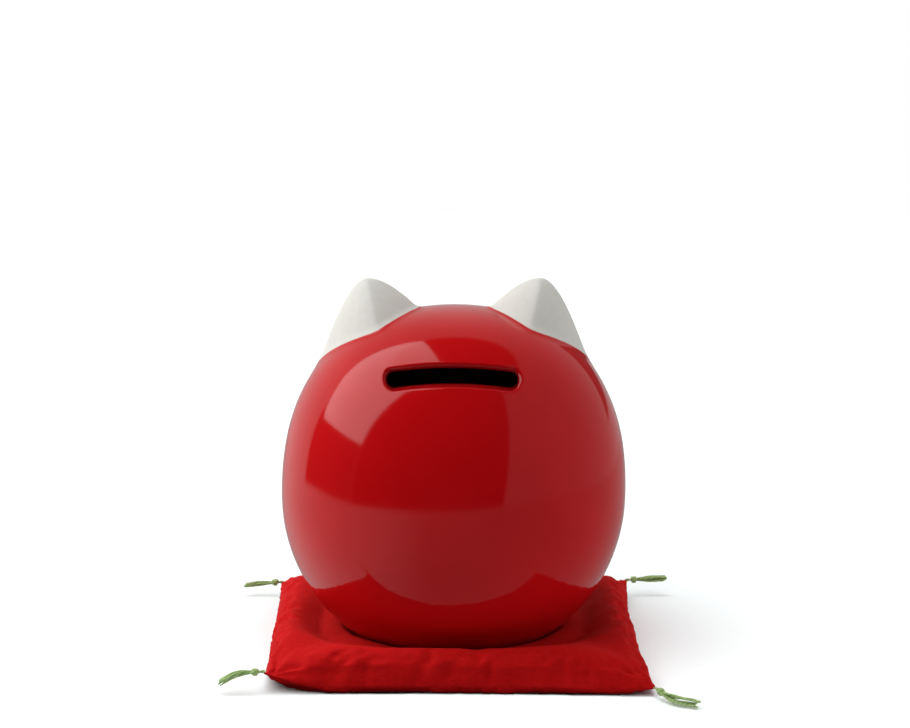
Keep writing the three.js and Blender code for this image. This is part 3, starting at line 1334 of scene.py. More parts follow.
@dataclass(frozen=True)
class CottonThread:
    """Soft twisted cotton embroidery thread, whose plies catch fine slanting lights."""

    name: str
    light: str
    # The grooves between the plies, painted darker as shade, and the darker fuzz.
    dark: str
    ply_pitch: float = 0.55
    ply_height: float = 0.06
    roughness: float = 0.7

    def material(self) -> bpy.types.Material:
        """Makes the thread's material.

        Returns:
            The material.
        """
        material, tree = new_material(self.name)
        place = add_node(tree, "ShaderNodeTexCoord").outputs["Object"]
        slanted = add_node(
            tree,
            "ShaderNodeMapping",
            {"vector_type": "POINT"},
            {"Vector": place, "Rotation": (0.5, 0.6, 0.7)},
        ).outputs["Vector"]
        ply = add_node(
            tree,
            "ShaderNodeTexWave",
            {"wave_type": "BANDS", "bands_direction": "X", "wave_profile": "SIN"},
            {"Vector": slanted, "Scale": per_metre(self.ply_pitch) / 6.3, "Distortion": 1.5, "Detail": 1.0},
        ).outputs["Fac"]
        fuzz = add_node(
            tree, "ShaderNodeTexNoise", links={"Vector": place, "Scale": per_metre(1.6), "Detail": 2.0}
        ).outputs[0]
        # Painted shade: darker in the grooves between the plies, where the bump is also low, varied at
        # random by the fuzz.
        hollow_shade_and_tone = add_node(
            tree, "ShaderNodeMix", {"data_type": "FLOAT"}, {0: 0.55, 2: ply, 3: fuzz}
        ).outputs[0]
        colour = add_node(
            tree,
            "ShaderNodeMix",
            {"data_type": "RGBA"},
            {0: hollow_shade_and_tone, 6: linear(self.dark), 7: linear(self.light)},
        ).outputs[2]
        height = add_node(
            tree, "ShaderNodeMath", {"operation": "MULTIPLY"}, {0: ply, 1: self.ply_height}
        ).outputs[0]
        bump = add_node(
            tree, "ShaderNodeBump", links={"Strength": 1.0, "Distance": MM, "Height": height}
        ).outputs["Normal"]
        finish_surface(
            tree,
            {
                "Base Color": colour,
                "Roughness": self.roughness,
                "Specular IOR Level": 0.3,
                "Sheen Weight": 0.2,
                "Normal": bump,
            },
        )
        return material


@dataclass(frozen=True)
class MouldedRubber:
    """Pressed black rubber, matt with a faint mottle from the mould."""

    dark: str = "26262A"
    light: str = "36363A"
    mottle_pitch: float = 1.2
    roughness: float = 0.62

    def material(self) -> bpy.types.Material:
        """Makes the stopper's material.

        Returns:
            The material.
        """
        material, tree = new_material("moulded_black_rubber")
        place = add_node(tree, "ShaderNodeTexCoord").outputs["Object"]
        mottle = add_node(
            tree,
            "ShaderNodeTexNoise",
            links={"Vector": place, "Scale": per_metre(self.mottle_pitch), "Detail": 4.0},
        ).outputs[0]
        colour = add_node(
            tree,
            "ShaderNodeMix",
            {"data_type": "RGBA"},
            {0: mottle, 6: linear(self.dark), 7: linear(self.light)},
        ).outputs[2]
        height = add_node(
            tree, "ShaderNodeMath", {"operation": "MULTIPLY"}, {0: mottle, 1: 0.05}
        ).outputs[0]
        bump = add_node(
            tree, "ShaderNodeBump", links={"Strength": 1.0, "Distance": MM, "Height": height}
        ).outputs["Normal"]
        finish_surface(
            tree, {"Base Color": colour, "Roughness": self.roughness, "Normal": bump}
        )
        return material


@dataclass(frozen=True)
class MattPaper:
    """A seamless paper sweep: matt white with the faintest tooth."""

    white: str = "F2F8F8"
    shade: str = "EEF4F4"
    roughness: float = 0.9

    def material(self) -> bpy.types.Material:
        """Makes the floor's material.

        Returns:
            The material.
        """
        material, tree = new_material("matt_white_paper")
        place = add_node(tree, "ShaderNodeTexCoord").outputs["Object"]
        tooth = add_node(
            tree, "ShaderNodeTexNoise", links={"Vector": place, "Scale": per_metre(3.0), "Detail": 3.0}
        ).outputs[0]
        colour = add_node(
            tree,
            "ShaderNodeMix",
            {"data_type": "RGBA"},
            {0: tooth, 6: linear(self.white), 7: linear(self.shade)},
        ).outputs[2]
        finish_surface(
            tree,
            {
                "Base Color": colour,
                "Roughness": self.roughness,
                "Specular IOR Level": 0.0,
            },
        )
        return material


@dataclass(frozen=True)
class Corner:
    """One corner of the cushion's seam, and its tassel's middle, tip and thickness."""

    name: str
    sx: int
    sy: int
    at: tuple[float, float, float]
    middle: tuple[float, float, float]
    tip: tuple[float, float, float]
    bundle: float


CORNERS = (
    Corner("back_left", 1, 1, (57.8, 58.8, 7.4), (65.4, 58.9, 6.7), (71.6, 58.9, 3.6), 1.5),
    Corner("back_right", -1, 1, (-62.3, 61.2, 2.9), (-66.2, 68.6, 2.3), (-74.3, 73.6, 1.8), 1.6),
    Corner("front_left", 1, -1, (59.4, -59.4, 5.3), (66.2, -59.5, 4.6), (72.6, -59.4, 3.9), 0.9),
    Corner("front_right", -1, -1, (-60.5, -59.4, 6.0), (-67.5, -59.7, 6.1), (-74.6, -59.9, 6.3), 1.3),
)


@dataclass(frozen=True)
class Stuffing:
    """How the sewn cover is blown up, at ten times its size so that the solver is stable."""

    enlarged: float = 10.0
    frames: int = 20
    pressure: float = 4.0
    vertex_mass: float = 0.004
    tension: float = 40.0
    shear: float = 12.0
    bending: float = 0.1
    cut_larger: float = 0.035
    quality: int = 7
    gap: float = 0.25
    set_back: float = 2.25
    mould_skin: float = 0.02
    mould_depth: float = 0.2
    friction: float = 2.0
    most_moved: float = 1.2


@dataclass
class Cushion:
    """The square crepe cushion, blown up from a sewn envelope and pressed by the bank."""

    hollow_left: float = 0.3
    hollow_right: float = 2.3
    hollow_back: float = 2.0
    hollow_front: float = 1.6
    half: float = 60.0
    crest: float = 12.0
    shoulder: float = 8.0
    corner_drop: float = 0.3
    valley_drop: float = 0.1
    valley_width: float = 0.16
    well_radius: float = 43.0
    well_height: float = 6.9
    well_slope: float = 0.68
    well_power: float = 3.2
    well_blend: float = 2.0
    press_blend: float = 0.8
    seam_height: float = 3.2
    near_seam_height: float = 0.9
    flat_part: float = 0.9
    corner_reach: float = 0.5
    scallop: float = 0.22
    seam_groove: float = 0.3
    cells: int = 48
    finer: int = 4
    edge_gather: float = 0.35
    stuffing: Stuffing = field(default_factory=Stuffing)

    def seam(self, u: np.ndarray, v: np.ndarray) -> np.ndarray:
        """The seam's height: low along the back edge, and lifted at each corner."""
        lowered = self.near_seam_height - self.seam_height
        height = self.seam_height + lowered * smoothstep(v, 0.3, 0.9)
        start = height.copy()
        for corner in CORNERS:
            near = np.maximum(0, u * corner.sx) * np.maximum(0, v * corner.sy)
            part = np.maximum(0, near - self.corner_reach) / (1 - self.corner_reach)
            height += (corner.at[2] - start) * part**2
        return height

    def place(self, u: np.ndarray, v: np.ndarray) -> tuple[np.ndarray, np.ndarray]:
        """Where places on the square, from -1 to 1 each way, lie on the floor."""
        x, y = np.zeros(u.shape), np.zeros(u.shape)
        for corner in CORNERS:
            share = (1 + u * corner.sx) * (1 + v * corner.sy) / 4
            x += share * corner.at[0]
            y += share * corner.at[1]
        x -= u * np.where(u > 0, self.hollow_left, self.hollow_right) * (1 - v * v)
        y -= v * np.where(v > 0, self.hollow_back, self.hollow_front) * (1 - u * u)
        return x, y

    def rise(self, t: np.ndarray) -> np.ndarray:
        """How far the stuffed edge has risen, from 0 at the seam to 1 past its shoulder."""
        part = np.clip((1 - np.abs(t)) * self.half / self.shoulder, 0, 1)
        return np.sqrt(1 - (1 - part) ** 2)

    def top(self, u: np.ndarray, v: np.ndarray, bank: Bank) -> np.ndarray:
        """The stuffed top's height, from the seam over the crest and down under the bank.

        Args:
            u: Places across the square, from -1 to 1.
            v: Places along it.
            bank: The bank that presses into it.

        Returns:
            The heights in millimetres.
        """
        seam = self.seam(u, v)
        corner = smoothstep(np.abs(u * v), 0.45, 1.0)
        off_diagonal = (np.abs(u) - np.abs(v)) / self.valley_width
        valley = np.exp(-(off_diagonal**2)) * smoothstep(np.abs(u * v), 0.1, 0.4)
        full = 1 - self.corner_drop * corner - self.valley_drop * valley
        height = seam + (self.crest * full - seam) * self.rise(u) * self.rise(v)
        x, y = self.place(u, v)
        square = (np.abs(x) ** self.well_power + np.abs(y) ** self.well_power) ** (1 / self.well_power)
        past_well = np.maximum(0, square - self.well_radius)
        well = self.well_height + self.well_slope * past_well
        return self.press(x, y, smooth_min(height, well, self.well_blend), bank)

    def press(self, x: np.ndarray, y: np.ndarray, height: np.ndarray, bank: Bank) -> np.ndarray:
        """Keeps heights of the top's places under the bank's belly and foot."""
        limit = bank.underside(np.hypot(x, y)) - self.stuffing.gap
        return smooth_min(height, limit, self.press_blend)

    def below(self, u: np.ndarray, v: np.ndarray) -> np.ndarray:
        """The underside's height, flat on the floor and curled up to the seam."""
        outwards = np.minimum(1, (u**6 + v**6) ** (1 / 6))
        curl = np.maximum(0, outwards - self.flat_part) / (1 - self.flat_part)
        return self.seam(u, v) * (1 - np.sqrt(np.maximum(0, 1 - curl * curl)))

    def build(self, bank: Bank) -> bpy.types.Object:
        """Builds the cushion.

        Args:
            bank: The bank that presses into it.

        Returns:
            The cushion's object.
        """
        t = np.linspace(-1, 1, self.cells + 1)
        t = (1 - self.edge_gather) * t + self.edge_gather * np.sin(t * math.pi / 2)
        u, v = np.meshgrid(t, t, indexing="ij")
        x, y = self.place(u, v)
        sheets = [np.stack([x, y, z], axis=-1) for z in (self.top(u, v, bank), self.below(u, v))]
        sheets = self.blow_up(sheets, bank)
        fine = [self.refine(sheet) for sheet in sheets]
        fine_u, fine_v = self.refine(np.stack([u, v], axis=-1)).transpose(2, 0, 1)
        fine = [self.crinkle(sheet, fine_u, fine_v, side) for sheet, side in zip(fine, (1, -1))]
        fine[0][..., 2] = self.press(fine[0][..., 0], fine[0][..., 1], fine[0][..., 2], bank)
        fine[1][..., 2] = np.maximum(fine[1][..., 2], 0)
        fine[0][..., 2] = np.maximum(fine[0][..., 2], fine[1][..., 2])
        return self.sewn_mesh(fine)[0].make("cushion_crepe")

    def sewn_mesh(self, sheets: Sequence[np.ndarray]) -> tuple[MeshMaker, np.ndarray, np.ndarray]:
        """Joins two square sheets of points, which share their rim, to a closed mesh.

        Args:
            sheets: The top's and the underside's points.

        Returns:
            The mesh, and the point numbers of the top and of the underside.
        """
        maker = MeshMaker()
        shape = sheets[0].shape[:2]
        upper = maker.add(sheets[0].reshape(-1, 3)).reshape(shape)
        lower = upper.copy()
        inside = maker.add(sheets[1][1:-1, 1:-1].reshape(-1, 3))
        lower[1:-1, 1:-1] = inside.reshape(shape[0] - 2, shape[1] - 2)
        for grid, order in ((upper, 1), (lower, -1)):
            for i in range(shape[0] - 1):
                for j in range(shape[1] - 1):
                    ring = (grid[i, j], grid[i + 1, j], grid[i + 1, j + 1], grid[i, j + 1])
                    maker.face(ring[::order])
        return maker, upper, lower

    def blow_up(self, sheets: Sequence[np.ndarray], bank: Bank) -> list[np.ndarray]:
        """Blows the sewn cover up between the floor and the bank with Blender's cloth.

        The cloth was cut a little larger than the place that it fills, so it puckers along
        its seam. Its solver is given nothing random, so each run ends the same.

        Args:
            sheets: The top and the underside to start from.
            bank: The bank that presses into it.

        Returns:
            The top and the underside, blown up.
        """
        plan = self.stuffing
        maker, upper, lower = self.sewn_mesh([sheet * plan.enlarged for sheet in sheets])
        cover = maker.make("cover_to_blow_up")
        start = np.vstack(maker.points)
        rim = cover.vertex_groups.new(name="seam")
        rim.add(sorted({int(n) for n in self.rim(upper)}), 1.0, "REPLACE")

        cloth = cover.modifiers.new("blow_up", "CLOTH")
        cloth.settings.shrink_min = -plan.cut_larger
        cloth.settings.vertex_group_mass = rim.name
        cloth.settings.mass = plan.vertex_mass
        cloth.settings.quality = plan.quality
        cloth.settings.tension_stiffness = cloth.settings.compression_stiffness = plan.tension
        cloth.settings.shear_stiffness = plan.shear
        cloth.settings.bending_stiffness = plan.bending
        cloth.settings.use_pressure = True
        cloth.settings.uniform_pressure_force = plan.pressure
        cloth.settings.effector_weights.gravity = 0.0
        cloth.collision_settings.distance_min = plan.gap * plan.enlarged * MM
        cloth.point_cache.frame_start, cloth.point_cache.frame_end = 1, plan.frames

        moulds = self.press_moulds(bank)
        scene = bpy.context.scene
        for frame in range(1, plan.frames + 1):
            scene.frame_set(frame)
        seen = cover.evaluated_get(bpy.context.evaluated_depsgraph_get()).data
        ended = np.empty(len(start) * 3)
        seen.vertices.foreach_get("co", ended)
        moved = ended.reshape(-1, 3) / MM - start
        scene.frame_set(1)
        for thing in (cover, *moulds):
            mesh = thing.data
            bpy.data.objects.remove(thing)
            bpy.data.meshes.remove(mesh)

        far = np.linalg.norm(moved, axis=1, keepdims=True)
        most = plan.most_moved * plan.enlarged
        final = (start + moved * most * np.tanh(far / most) / np.maximum(far, 1e-9)) / plan.enlarged
        log.info("cushion: blown up by %.2f mm", float(np.median(far)) / plan.enlarged)
        return [final[grid] for grid in (upper, lower)]

    def press_moulds(self, bank: Bank) -> list[bpy.types.Object]:
        """Makes the enlarged belly and floor that the cover is blown up between."""
        plan = self.stuffing
        turn = np.arange(72) * 2 * math.pi / 72
        circle = np.column_stack([np.cos(turn), np.sin(turn), np.zeros(72)])
        maker = MeshMaker()
        radii = np.concatenate([np.linspace(8, 32, 4), np.linspace(33, 54, 22)])
        levels = [(0, 0, height + plan.set_back) for height in bank.underside(radii)]
        loops = [maker.add((circle * r + level) * plan.enlarged) for r, level in zip(radii, levels)]
        loops.append(maker.add((circle * 50 + (0, 0, 70)) * plan.enlarged))
        for first, second in zip(loops, loops[1:]):
            maker.bridge(first, second)
        foot = np.array([0, 0, bank.foot_height + plan.set_back]) * plan.enlarged
        maker.fan(loops[0], int(maker.add(foot)[0]))
        maker.fan(loops[-1], int(maker.add(np.array([0, 0, 70.0]) * plan.enlarged)[0]))
        belly = maker.make("belly_mould")
        maker = MeshMaker()
        depths = (-plan.set_back, -20)
        above, below = [maker.add((circle * 110 + (0, 0, z)) * plan.enlarged) for z in depths]
        maker.bridge(above, below)
        maker.face(above)
        maker.face(below)
        ground = maker.make("floor_mould")
        for mould in (belly, ground):
            mould.modifiers.new("press", "COLLISION")
            mould.collision.thickness_outer = plan.mould_skin
            mould.collision.thickness_inner = plan.mould_depth
            mould.collision.cloth_friction = plan.friction
        return [belly, ground]

    def refine(self, sheet: np.ndarray) -> np.ndarray:
        """Adds points between a sheet's points, on smooth curves through them.

        Args:
            sheet: The points as rows and columns.

        Returns:
            The finer sheet.
        """
        places = np.arange(self.cells * self.finer + 1) / self.finer
        low = np.minimum(places.astype(int), self.cells - 1)
        t = places - low
        weights = np.zeros((len(places), self.cells + 3))
        shares = (
            -0.5 * t + t**2 - 0.5 * t**3,
            1 - 2.5 * t**2 + 1.5 * t**3,
            0.5 * t + 2 * t**2 - 1.5 * t**3,
            -0.5 * t**2 + 0.5 * t**3,
        )
        for step, share in enumerate(shares):
            weights[np.arange(len(places)), low + step] = share
        # The points past each end carry the sheet on in a straight line.
        inner = weights[:, 1:-1].copy()
        inner[:, 0] += 2 * weights[:, 0]
        inner[:, 1] -= weights[:, 0]
        inner[:, -1] += 2 * weights[:, -1]
        inner[:, -2] -= weights[:, -1]
        return np.einsum("ai,bj,ijk->abk", inner, inner, sheet)

    def crinkle(self, sheet: np.ndarray, u: np.ndarray, v: np.ndarray, side: int) -> np.ndarray:
        """Adds the gathers of the seam and corners and the wrinkles of the crepe.

        Args:
            sheet: The points as rows and columns.
            u: Places across the square.
            v: Places along it.
            side: 1 for the top and -1 for the underside.

        Returns:
            The wrinkled sheet.
        """
        across = np.cross(np.gradient(sheet, axis=0), np.gradient(sheet, axis=1))
        out = unit(across) * side
        near_x, near_y = (1 - np.abs(u)) * self.half, (1 - np.abs(v)) * self.half
        edge = np.minimum(near_x, near_y)
        along = np.where(near_x < near_y, v, u) * self.half
        which = np.where(near_x < near_y, np.sign(u), 2 * np.sign(v)) * 37.0
        shape = u.shape
        flat = [a.ravel() for a in (along, edge, which)]
        stretched = np.column_stack([flat[0] / 1.9, flat[1] / 9, flat[2]])
        pucker = lattice_noise(stretched, 1.0, 21).reshape(shape)
        stretched = np.column_stack([flat[0] / 13, sheet[..., 2].ravel() / 1.25, flat[2]])
        crease = lattice_noise(stretched, 1.0, 22).reshape(shape)
        soft = lattice_noise(sheet.reshape(-1, 3), 9.0, 23).reshape(shape)
        stretched = np.column_stack([flat[0] / 2.3, flat[2], flat[2]])
        bite = lattice_noise(stretched, 1.0, 24).reshape(shape)
        tall = 0.28 * pucker * np.exp(-edge / 3.5)
        tall += 0.3 * crease * np.exp(-((edge / 9.0) ** 2))
        tall += 0.3 * soft * smoothstep(edge, 0, 6)
        for corner in CORNERS:
            dx, dy = (1 - u * corner.sx) * self.half, (1 - v * corner.sy) * self.half
            reach, turn = np.hypot(dx, dy), np.arctan2(dy, dx)
            fold = np.sin(turn * 15 + 2.2 * soft + 1.7 * corner.sx * corner.sy)
            tall += 0.4 * fold * smoothstep(reach, 1.0, 5.0) * np.exp(-reach / 9.0)
        tall *= smoothstep(edge, 0.0, 0.8)
        tall -= self.seam_groove * np.exp(-(((edge - 1.4) / 0.5) ** 2)) * (1 + 0.5 * bite)
        outwards = np.zeros_like(sheet)
        outwards[..., 0] = np.where(near_x < near_y, np.sign(u), 0.0)
        outwards[..., 1] = np.where(near_x < near_y, 0.0, np.sign(v))
        away_from_corner = smoothstep(np.maximum(near_x, near_y), 2, 8)
        shift = self.scallop * bite * np.exp(-edge / 1.5) * away_from_corner
        return sheet + out * tall[..., None] + outwards * shift[..., None]

    def rim(self, sheet: np.ndarray) -> np.ndarray:
        """The loop of points round a sheet's edge."""
        return np.concatenate([sheet[:-1, 0], sheet[-1, :-1], sheet[:0:-1, -1], sheet[0, :0:-1]])


@dataclass
class Tassel:
    """A tuft of embroidery thread that is knotted through a corner of the cushion."""

    corner: Corner
    strands: int = 14
    strand_radius: float = 0.24
    cord_radius: float = 0.42
    knot_radius: float = 1.15
    knot_place: float = 0.2
    seed: int = 3

    def build(self) -> bpy.types.Object:
        """Builds the cord, the knot and the loose strands as one mesh.

        Returns:
            The tassel's object.
        """
        corner = self.corner
        random = np.random.default_rng(self.seed)
        maker = MeshMaker()
        start = np.array(corner.at) - np.array([corner.sx, corner.sy, 0]) * 0.6
        spine = smooth_path([start, corner.middle, corner.tip], 60)
        along = unit(np.gradient(spine, axis=0))
        across = unit(np.cross(along, (0.0, 0.0, 1.0)))
        third = np.cross(across, along)
        places = np.linspace(0, 1, len(spine))
        knot = int(self.knot_place * len(spine))

        for turn in (0.0, math.pi):
            wind = places[: knot + 4] * 30 + turn
            side = np.cos(wind)[:, None] * across[: knot + 4]
            lift = np.sin(wind)[:, None] * third[: knot + 4]
            path = spine[: knot + 4] + self.cord_radius / 2 * (side + lift)
            sweep(maker, path, np.full(knot + 4, self.cord_radius * 0.7), 6)
        self.wind_knot(maker, spine[knot], along[knot], across[knot], third[knot])

        for number in range(self.strands):
            swing = 2 * math.pi * number / self.strands + random.uniform(-0.3, 0.3)
            reach = math.sqrt(random.uniform(0.08, 1.0)) * corner.bundle
            end = random.uniform(0.86, 1.0)
            length = int((len(spine) - knot) * end)
            part = np.linspace(0, end, length)
            flare = np.sin(np.clip(part * 1.5, 0, 1) * math.pi / 2) ** 0.8 * (1 - 0.25 * part)
            swirl = swing + part * random.uniform(-1.2, 1.2)
            wobble = 0.22 * np.sin(part * random.uniform(7, 15) + random.uniform(0, 6.3))
            spine_part = spine[knot : knot + length]
            side = (reach * flare * np.cos(swirl) + wobble)[:, None] * across[knot : knot + length]
            lift = (reach * flare * np.sin(swirl))[:, None] * third[knot : knot + length]
            path = spine_part + side + lift
            path[:, 2] = np.maximum(path[:, 2], self.strand_radius + 0.05)
            radii = self.strand_radius * random.uniform(0.8, 1.15) * np.ones(length)
            sweep(maker, path, radii, 6)
        return maker.make(f"tassel_{corner.name}_thread")

    def wind_knot(
        self, maker: MeshMaker, middle: np.ndarray, along: np.ndarray, across: np.ndarray, third: np.ndarray
    ) -> None:
        """Winds the thread round the tuft's neck.

        Args:
            maker: The tassel's mesh.
            middle: The knot's place.
            along: The cord's direction there.
            across: A level direction square to it.
            third: The direction square to both.
        """
        turns, steps = 2.6, 60
        angle = np.linspace(0, turns * 2 * math.pi, steps)
        wind = self.knot_radius - self.cord_radius * 0.8
        swell = wind * (0.8 + 0.2 * np.sin(np.linspace(0, math.pi, steps)))
        shift = np.linspace(-0.8, 0.8, steps)
        path = (
            middle
            + shift[:, None] * along
            + (swell * np.cos(angle))[:, None] * across
            + (swell * np.sin(angle))[:, None] * third
        )
        sweep(maker, path, np.full(steps, self.cord_radius), 8)


@dataclass
class Stopper:
    """The rubber plug under the bank, which keeps its own solid."""

    node: str = "bottom_stopper"
    finish: MouldedRubber = field(default_factory=MouldedRubber)

    def dress(self, nodes: Mapping[str, bpy.types.Object]) -> bpy.types.Object:
        """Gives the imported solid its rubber.

        Args:
            nodes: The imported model's objects by name.

        Returns:
            The stopper's object.
        """
        solid = nodes[self.node]
        solid.material_slots[0].material = self.finish.material()
        return solid


@dataclass(frozen=True)
class Softbox:
    """The key light: a tilted rectangle to the left of the camera.

    Its place and its level and upright edges are unit directions times a distance.
    """

    distance: float = 1.2
    middle: tuple[float, float, float] = (0.669, -0.090, 0.773)
    level: tuple[float, float, float] = (-0.182, 0.983, -0.024)
    upright: tuple[float, float, float] = (-0.742, -0.121, 0.660)
    wide: float = 0.943
    tall: float = 1.30
    radiance: float = 3.2


@dataclass(frozen=True)
class Scrim:
    """A round diffuse light that faces the bank: place and width in metres."""

    name: str
    place: tuple[float, float, float]
    across: float
    radiance: float


@dataclass(frozen=True)
class Panel:
    """A part of the surround: its brightness, and the planes that it lies in front of.

    Each plane is its unit normal and its distance from the middle of the unit sphere.
    """

    brightness: float
    planes: tuple[tuple[tuple[float, float, float], float], ...]


@dataclass(frozen=True)
class Surround:
    """What stands round the bank, as its glaze mirrors it, in parts of paper white."""

    right_wall: float = 0.5
    left_wall: float = 0.95
    turn: tuple[float, float] = (0.15, 0.85)
    panels: tuple[Panel, ...] = (
        Panel(0.04, (((0.0, 0.0, 1.0), 0.855),)),
        Panel(
            0.06,
            (((0.329, -0.923, 0.201), 0.0), ((0.454, 0.891, 0.0), 0.0), ((0.0, 0.0, -1.0), -0.28)),
        ),
        Panel(0.0, (((-0.329, 0.923, -0.201), 0.0), ((0.802, 0.546, 0.243), 0.0))),
        Panel(
            0.08,
            (
                ((0.638, -0.560, -0.528), 0.0),
                ((-1.0, 0.0, 0.0), 0.1),
                ((0.0, 0.0, 1.0), 0.01),
                ((0.0, 0.0, -1.0), -0.36),
            ),
        ),
    )
    right_table: float = 0.38
    left_table: float = 1.0
    table_drop: float = 0.13
    edge: float = 0.012


@dataclass
class Studio:
    """The camera, the white paper, the softbox and the surround of the photograph.

    The paper and the backdrop are seen by the camera alone, and the surround lights and
    is mirrored instead, because the photograph's white was lifted after it was taken.
    """

    camera_place: tuple[float, float, float] = (-0.84, 874.8, 246.72)
    camera_pitch: float = 10.0
    focal_pixels: float = 2769.0
    photo_width: int = 910
    sensor: float = 36.0
    floor_radius: float = 1.2
    backdrop_height: float = 1.6
    flag_reach: float = 62.0
    softbox: Softbox = field(default_factory=Softbox)
    scrims: tuple[Scrim, ...] = (
        Scrim("fill_scrim", (-1.35, 1.0, 1.3), 2.0, 0.55),
        Scrim("side_scrim", (-1.5, -0.13, 0.25), 1.6, 0.99),
        Scrim("table_bounce", (0.0, 1.4, -0.37), 1.2, 0.68),
    )
    wash_place: tuple[float, float, float] = (0.2, 0.42, 0.88)
    wash_angle: float = 75.0
    wash_strength: float = 3.5
    surround: Surround = field(default_factory=Surround)

    def add_camera(self) -> None:
        """Stands the camera where the photograph was taken."""
        data = bpy.data.cameras.new("photo_camera")
        data.sensor_width = self.sensor
        data.lens = self.focal_pixels / self.photo_width * self.sensor
        data.clip_start, data.clip_end = 0.05, 40.0
        camera = bpy.data.objects.new("photo_camera", data)
        camera.location = Vector(self.camera_place) * MM
        camera.rotation_euler = (math.radians(90 - self.camera_pitch), 0, math.pi)
        bpy.context.scene.collection.objects.link(camera)
        bpy.context.scene.camera = camera

    def panel_share(
        self,
        tree: bpy.types.NodeTree,
        way: bpy.types.NodeSocket,
        planes: Sequence[tuple[tuple[float, float, float], float]],
    ) -> bpy.types.NodeSocket:
        """Finds the share of a direction that lies in front of a panel's planes.

        Args:
            tree: The world's node tree.
            way: The direction looked in.
            planes: The planes' normals and distances.

        Returns:
            1 in front of all the planes and 0 elsewhere, with a narrow soft edge.
        """
        share, edge = None, self.surround.edge
        for normal, start in planes:
            ahead = add_node(
                tree, "ShaderNodeVectorMath", {"operation": "DOT_PRODUCT"}, {0: way, 1: normal}
            ).outputs["Value"]
            side = add_node(
                tree,
                "ShaderNodeMapRange",
                links={"Value": ahead, "From Min": start - edge, "From Max": start + edge},
            ).outputs[0]
            if share is not None:
                side = add_node(
                    tree, "ShaderNodeMath", {"operation": "MINIMUM"}, {0: share, 1: side}
                ).outputs[0]
            share = side
        return share

    def add_world(self) -> None:
        """Surrounds the bank with walls, a table and the darker panels in front of them."""
        around = self.surround
        world = bpy.data.worlds.new("studio_surround")
        world.use_nodes = True
        tree = world.node_tree
        way = add_node(tree, "ShaderNodeTexCoord").outputs["Generated"]
        leftwards = add_node(
            tree,
            "ShaderNodeMapRange",
            {"interpolation_type": "SMOOTHSTEP"},
            {
                "Value": add_node(tree, "ShaderNodeSeparateXYZ", links={0: way}).outputs["X"],
                "From Min": around.turn[0],
                "From Max": around.turn[1],
            },
        ).outputs[0]
        walls = (around.right_wall, around.left_wall)
        tables = (around.right_table, around.left_table)
        value, table = [
            add_node(
                tree, "ShaderNodeMix", {"data_type": "FLOAT"}, {0: leftwards, 2: right, 3: left}
            ).outputs[0]
            for right, left in (walls, tables)
        ]
        layers = [(panel.planes, panel.brightness) for panel in around.panels]
        layers.append(((((0.0, 0.0, -1.0), around.table_drop),), table))
        for planes, brightness in layers:
            share = self.panel_share(tree, way, planes)
            value = add_node(
                tree, "ShaderNodeMix", {"data_type": "FLOAT"}, {0: share, 2: value, 3: brightness}
            ).outputs[0]
        tree.links.new(value, tree.nodes["Background"].inputs["Strength"])
        tree.nodes["Background"].inputs["Color"].default_value = (1, 1, 1, 1)
        bpy.context.scene.world = world
        bpy.context.scene.view_settings.view_transform = "Standard"

    def show_to_camera_only(self, thing: bpy.types.Object) -> None:
        """Takes a stage object out of the bounced light and the reflections."""
        thing.visible_diffuse = thing.visible_glossy = thing.visible_transmission = False
        thing.visible_shadow = False

    def add_paper(self) -> bpy.types.Object:
        """Lays the paper floor, stands the backdrop round it and gives the floor back."""
        sides = 96
        turn = np.arange(sides) * 2 * math.pi / sides
        circle = np.column_stack([np.cos(turn), np.sin(turn), np.zeros(sides)]) / MM
        maker = MeshMaker()
        loops = [maker.add(circle * r) for r in (0.2, 0.5, 1.0, self.floor_radius)]
        for inner, outer in zip(loops, loops[1:]):
            maker.bridge(inner, outer)
        maker.fan(loops[0], int(maker.add(np.zeros((1, 3)))[0]))
        floor = maker.make("paper_floor")
        floor.data.materials.append(MattPaper().material())
        floor.location.z = -0.02 * MM
        self.show_to_camera_only(floor)

        maker = MeshMaker()
        heights = (-0.05, self.backdrop_height)
        foot, head = [maker.add(circle * (self.floor_radius - 0.02) + (0, 0, h / MM)) for h in heights]
        maker.bridge(foot, head)
        backdrop = maker.make("white_backdrop")
        material, tree = new_material("lit_white_backdrop")
        glow = add_node(tree, "ShaderNodeEmission", links={"Color": linear("FFFFFF"), "Strength": 1.0})
        add_node(tree, "ShaderNodeOutputMaterial", links={"Surface": glow.outputs[0]})
        backdrop.data.materials.append(material)
        self.show_to_camera_only(backdrop)
        return floor

    def add_flag(self) -> None:
        """Lays a black card under the cushion, where the table throws no light back."""
        reach = self.flag_reach
        maker = MeshMaker()
        corners = ((-reach, -reach), (reach, -reach), (reach, reach), (-reach, reach))
        maker.face(maker.add(np.array([(x, y, -0.1) for x, y in corners])))
        flag = maker.make("black_flag")
        material, tree = new_material("black_card")
        finish_surface(tree, {"Base Color": linear("080808"), "Roughness": 0.9})
        flag.data.materials.append(material)
        flag.visible_camera = flag.visible_glossy = False

    def add_softbox(self) -> bpy.types.Object:
        """Hangs the softbox so that it faces the bank, and gives it back."""
        box = self.softbox
        level, upright = Vector(box.level).normalized(), Vector(box.upright).normalized()
        turn = Matrix((level, upright, level.cross(upright))).transposed()
        data = bpy.data.lights.new("key_softbox", "AREA")
        data.shape = "RECTANGLE"
        data.size, data.size_y = box.wide * box.distance, box.tall * box.distance
        data.energy = box.radiance * math.pi * data.size * data.size_y
        lamp = bpy.data.objects.new("key_softbox", data)
        lamp.location = Vector((0, 0, 0.05)) + Vector(box.middle) * box.distance
        lamp.rotation_mode = "QUATERNION"
        lamp.rotation_quaternion = turn.to_quaternion()
        lamp.visible_camera = False
        bpy.context.scene.collection.objects.link(lamp)
        return lamp

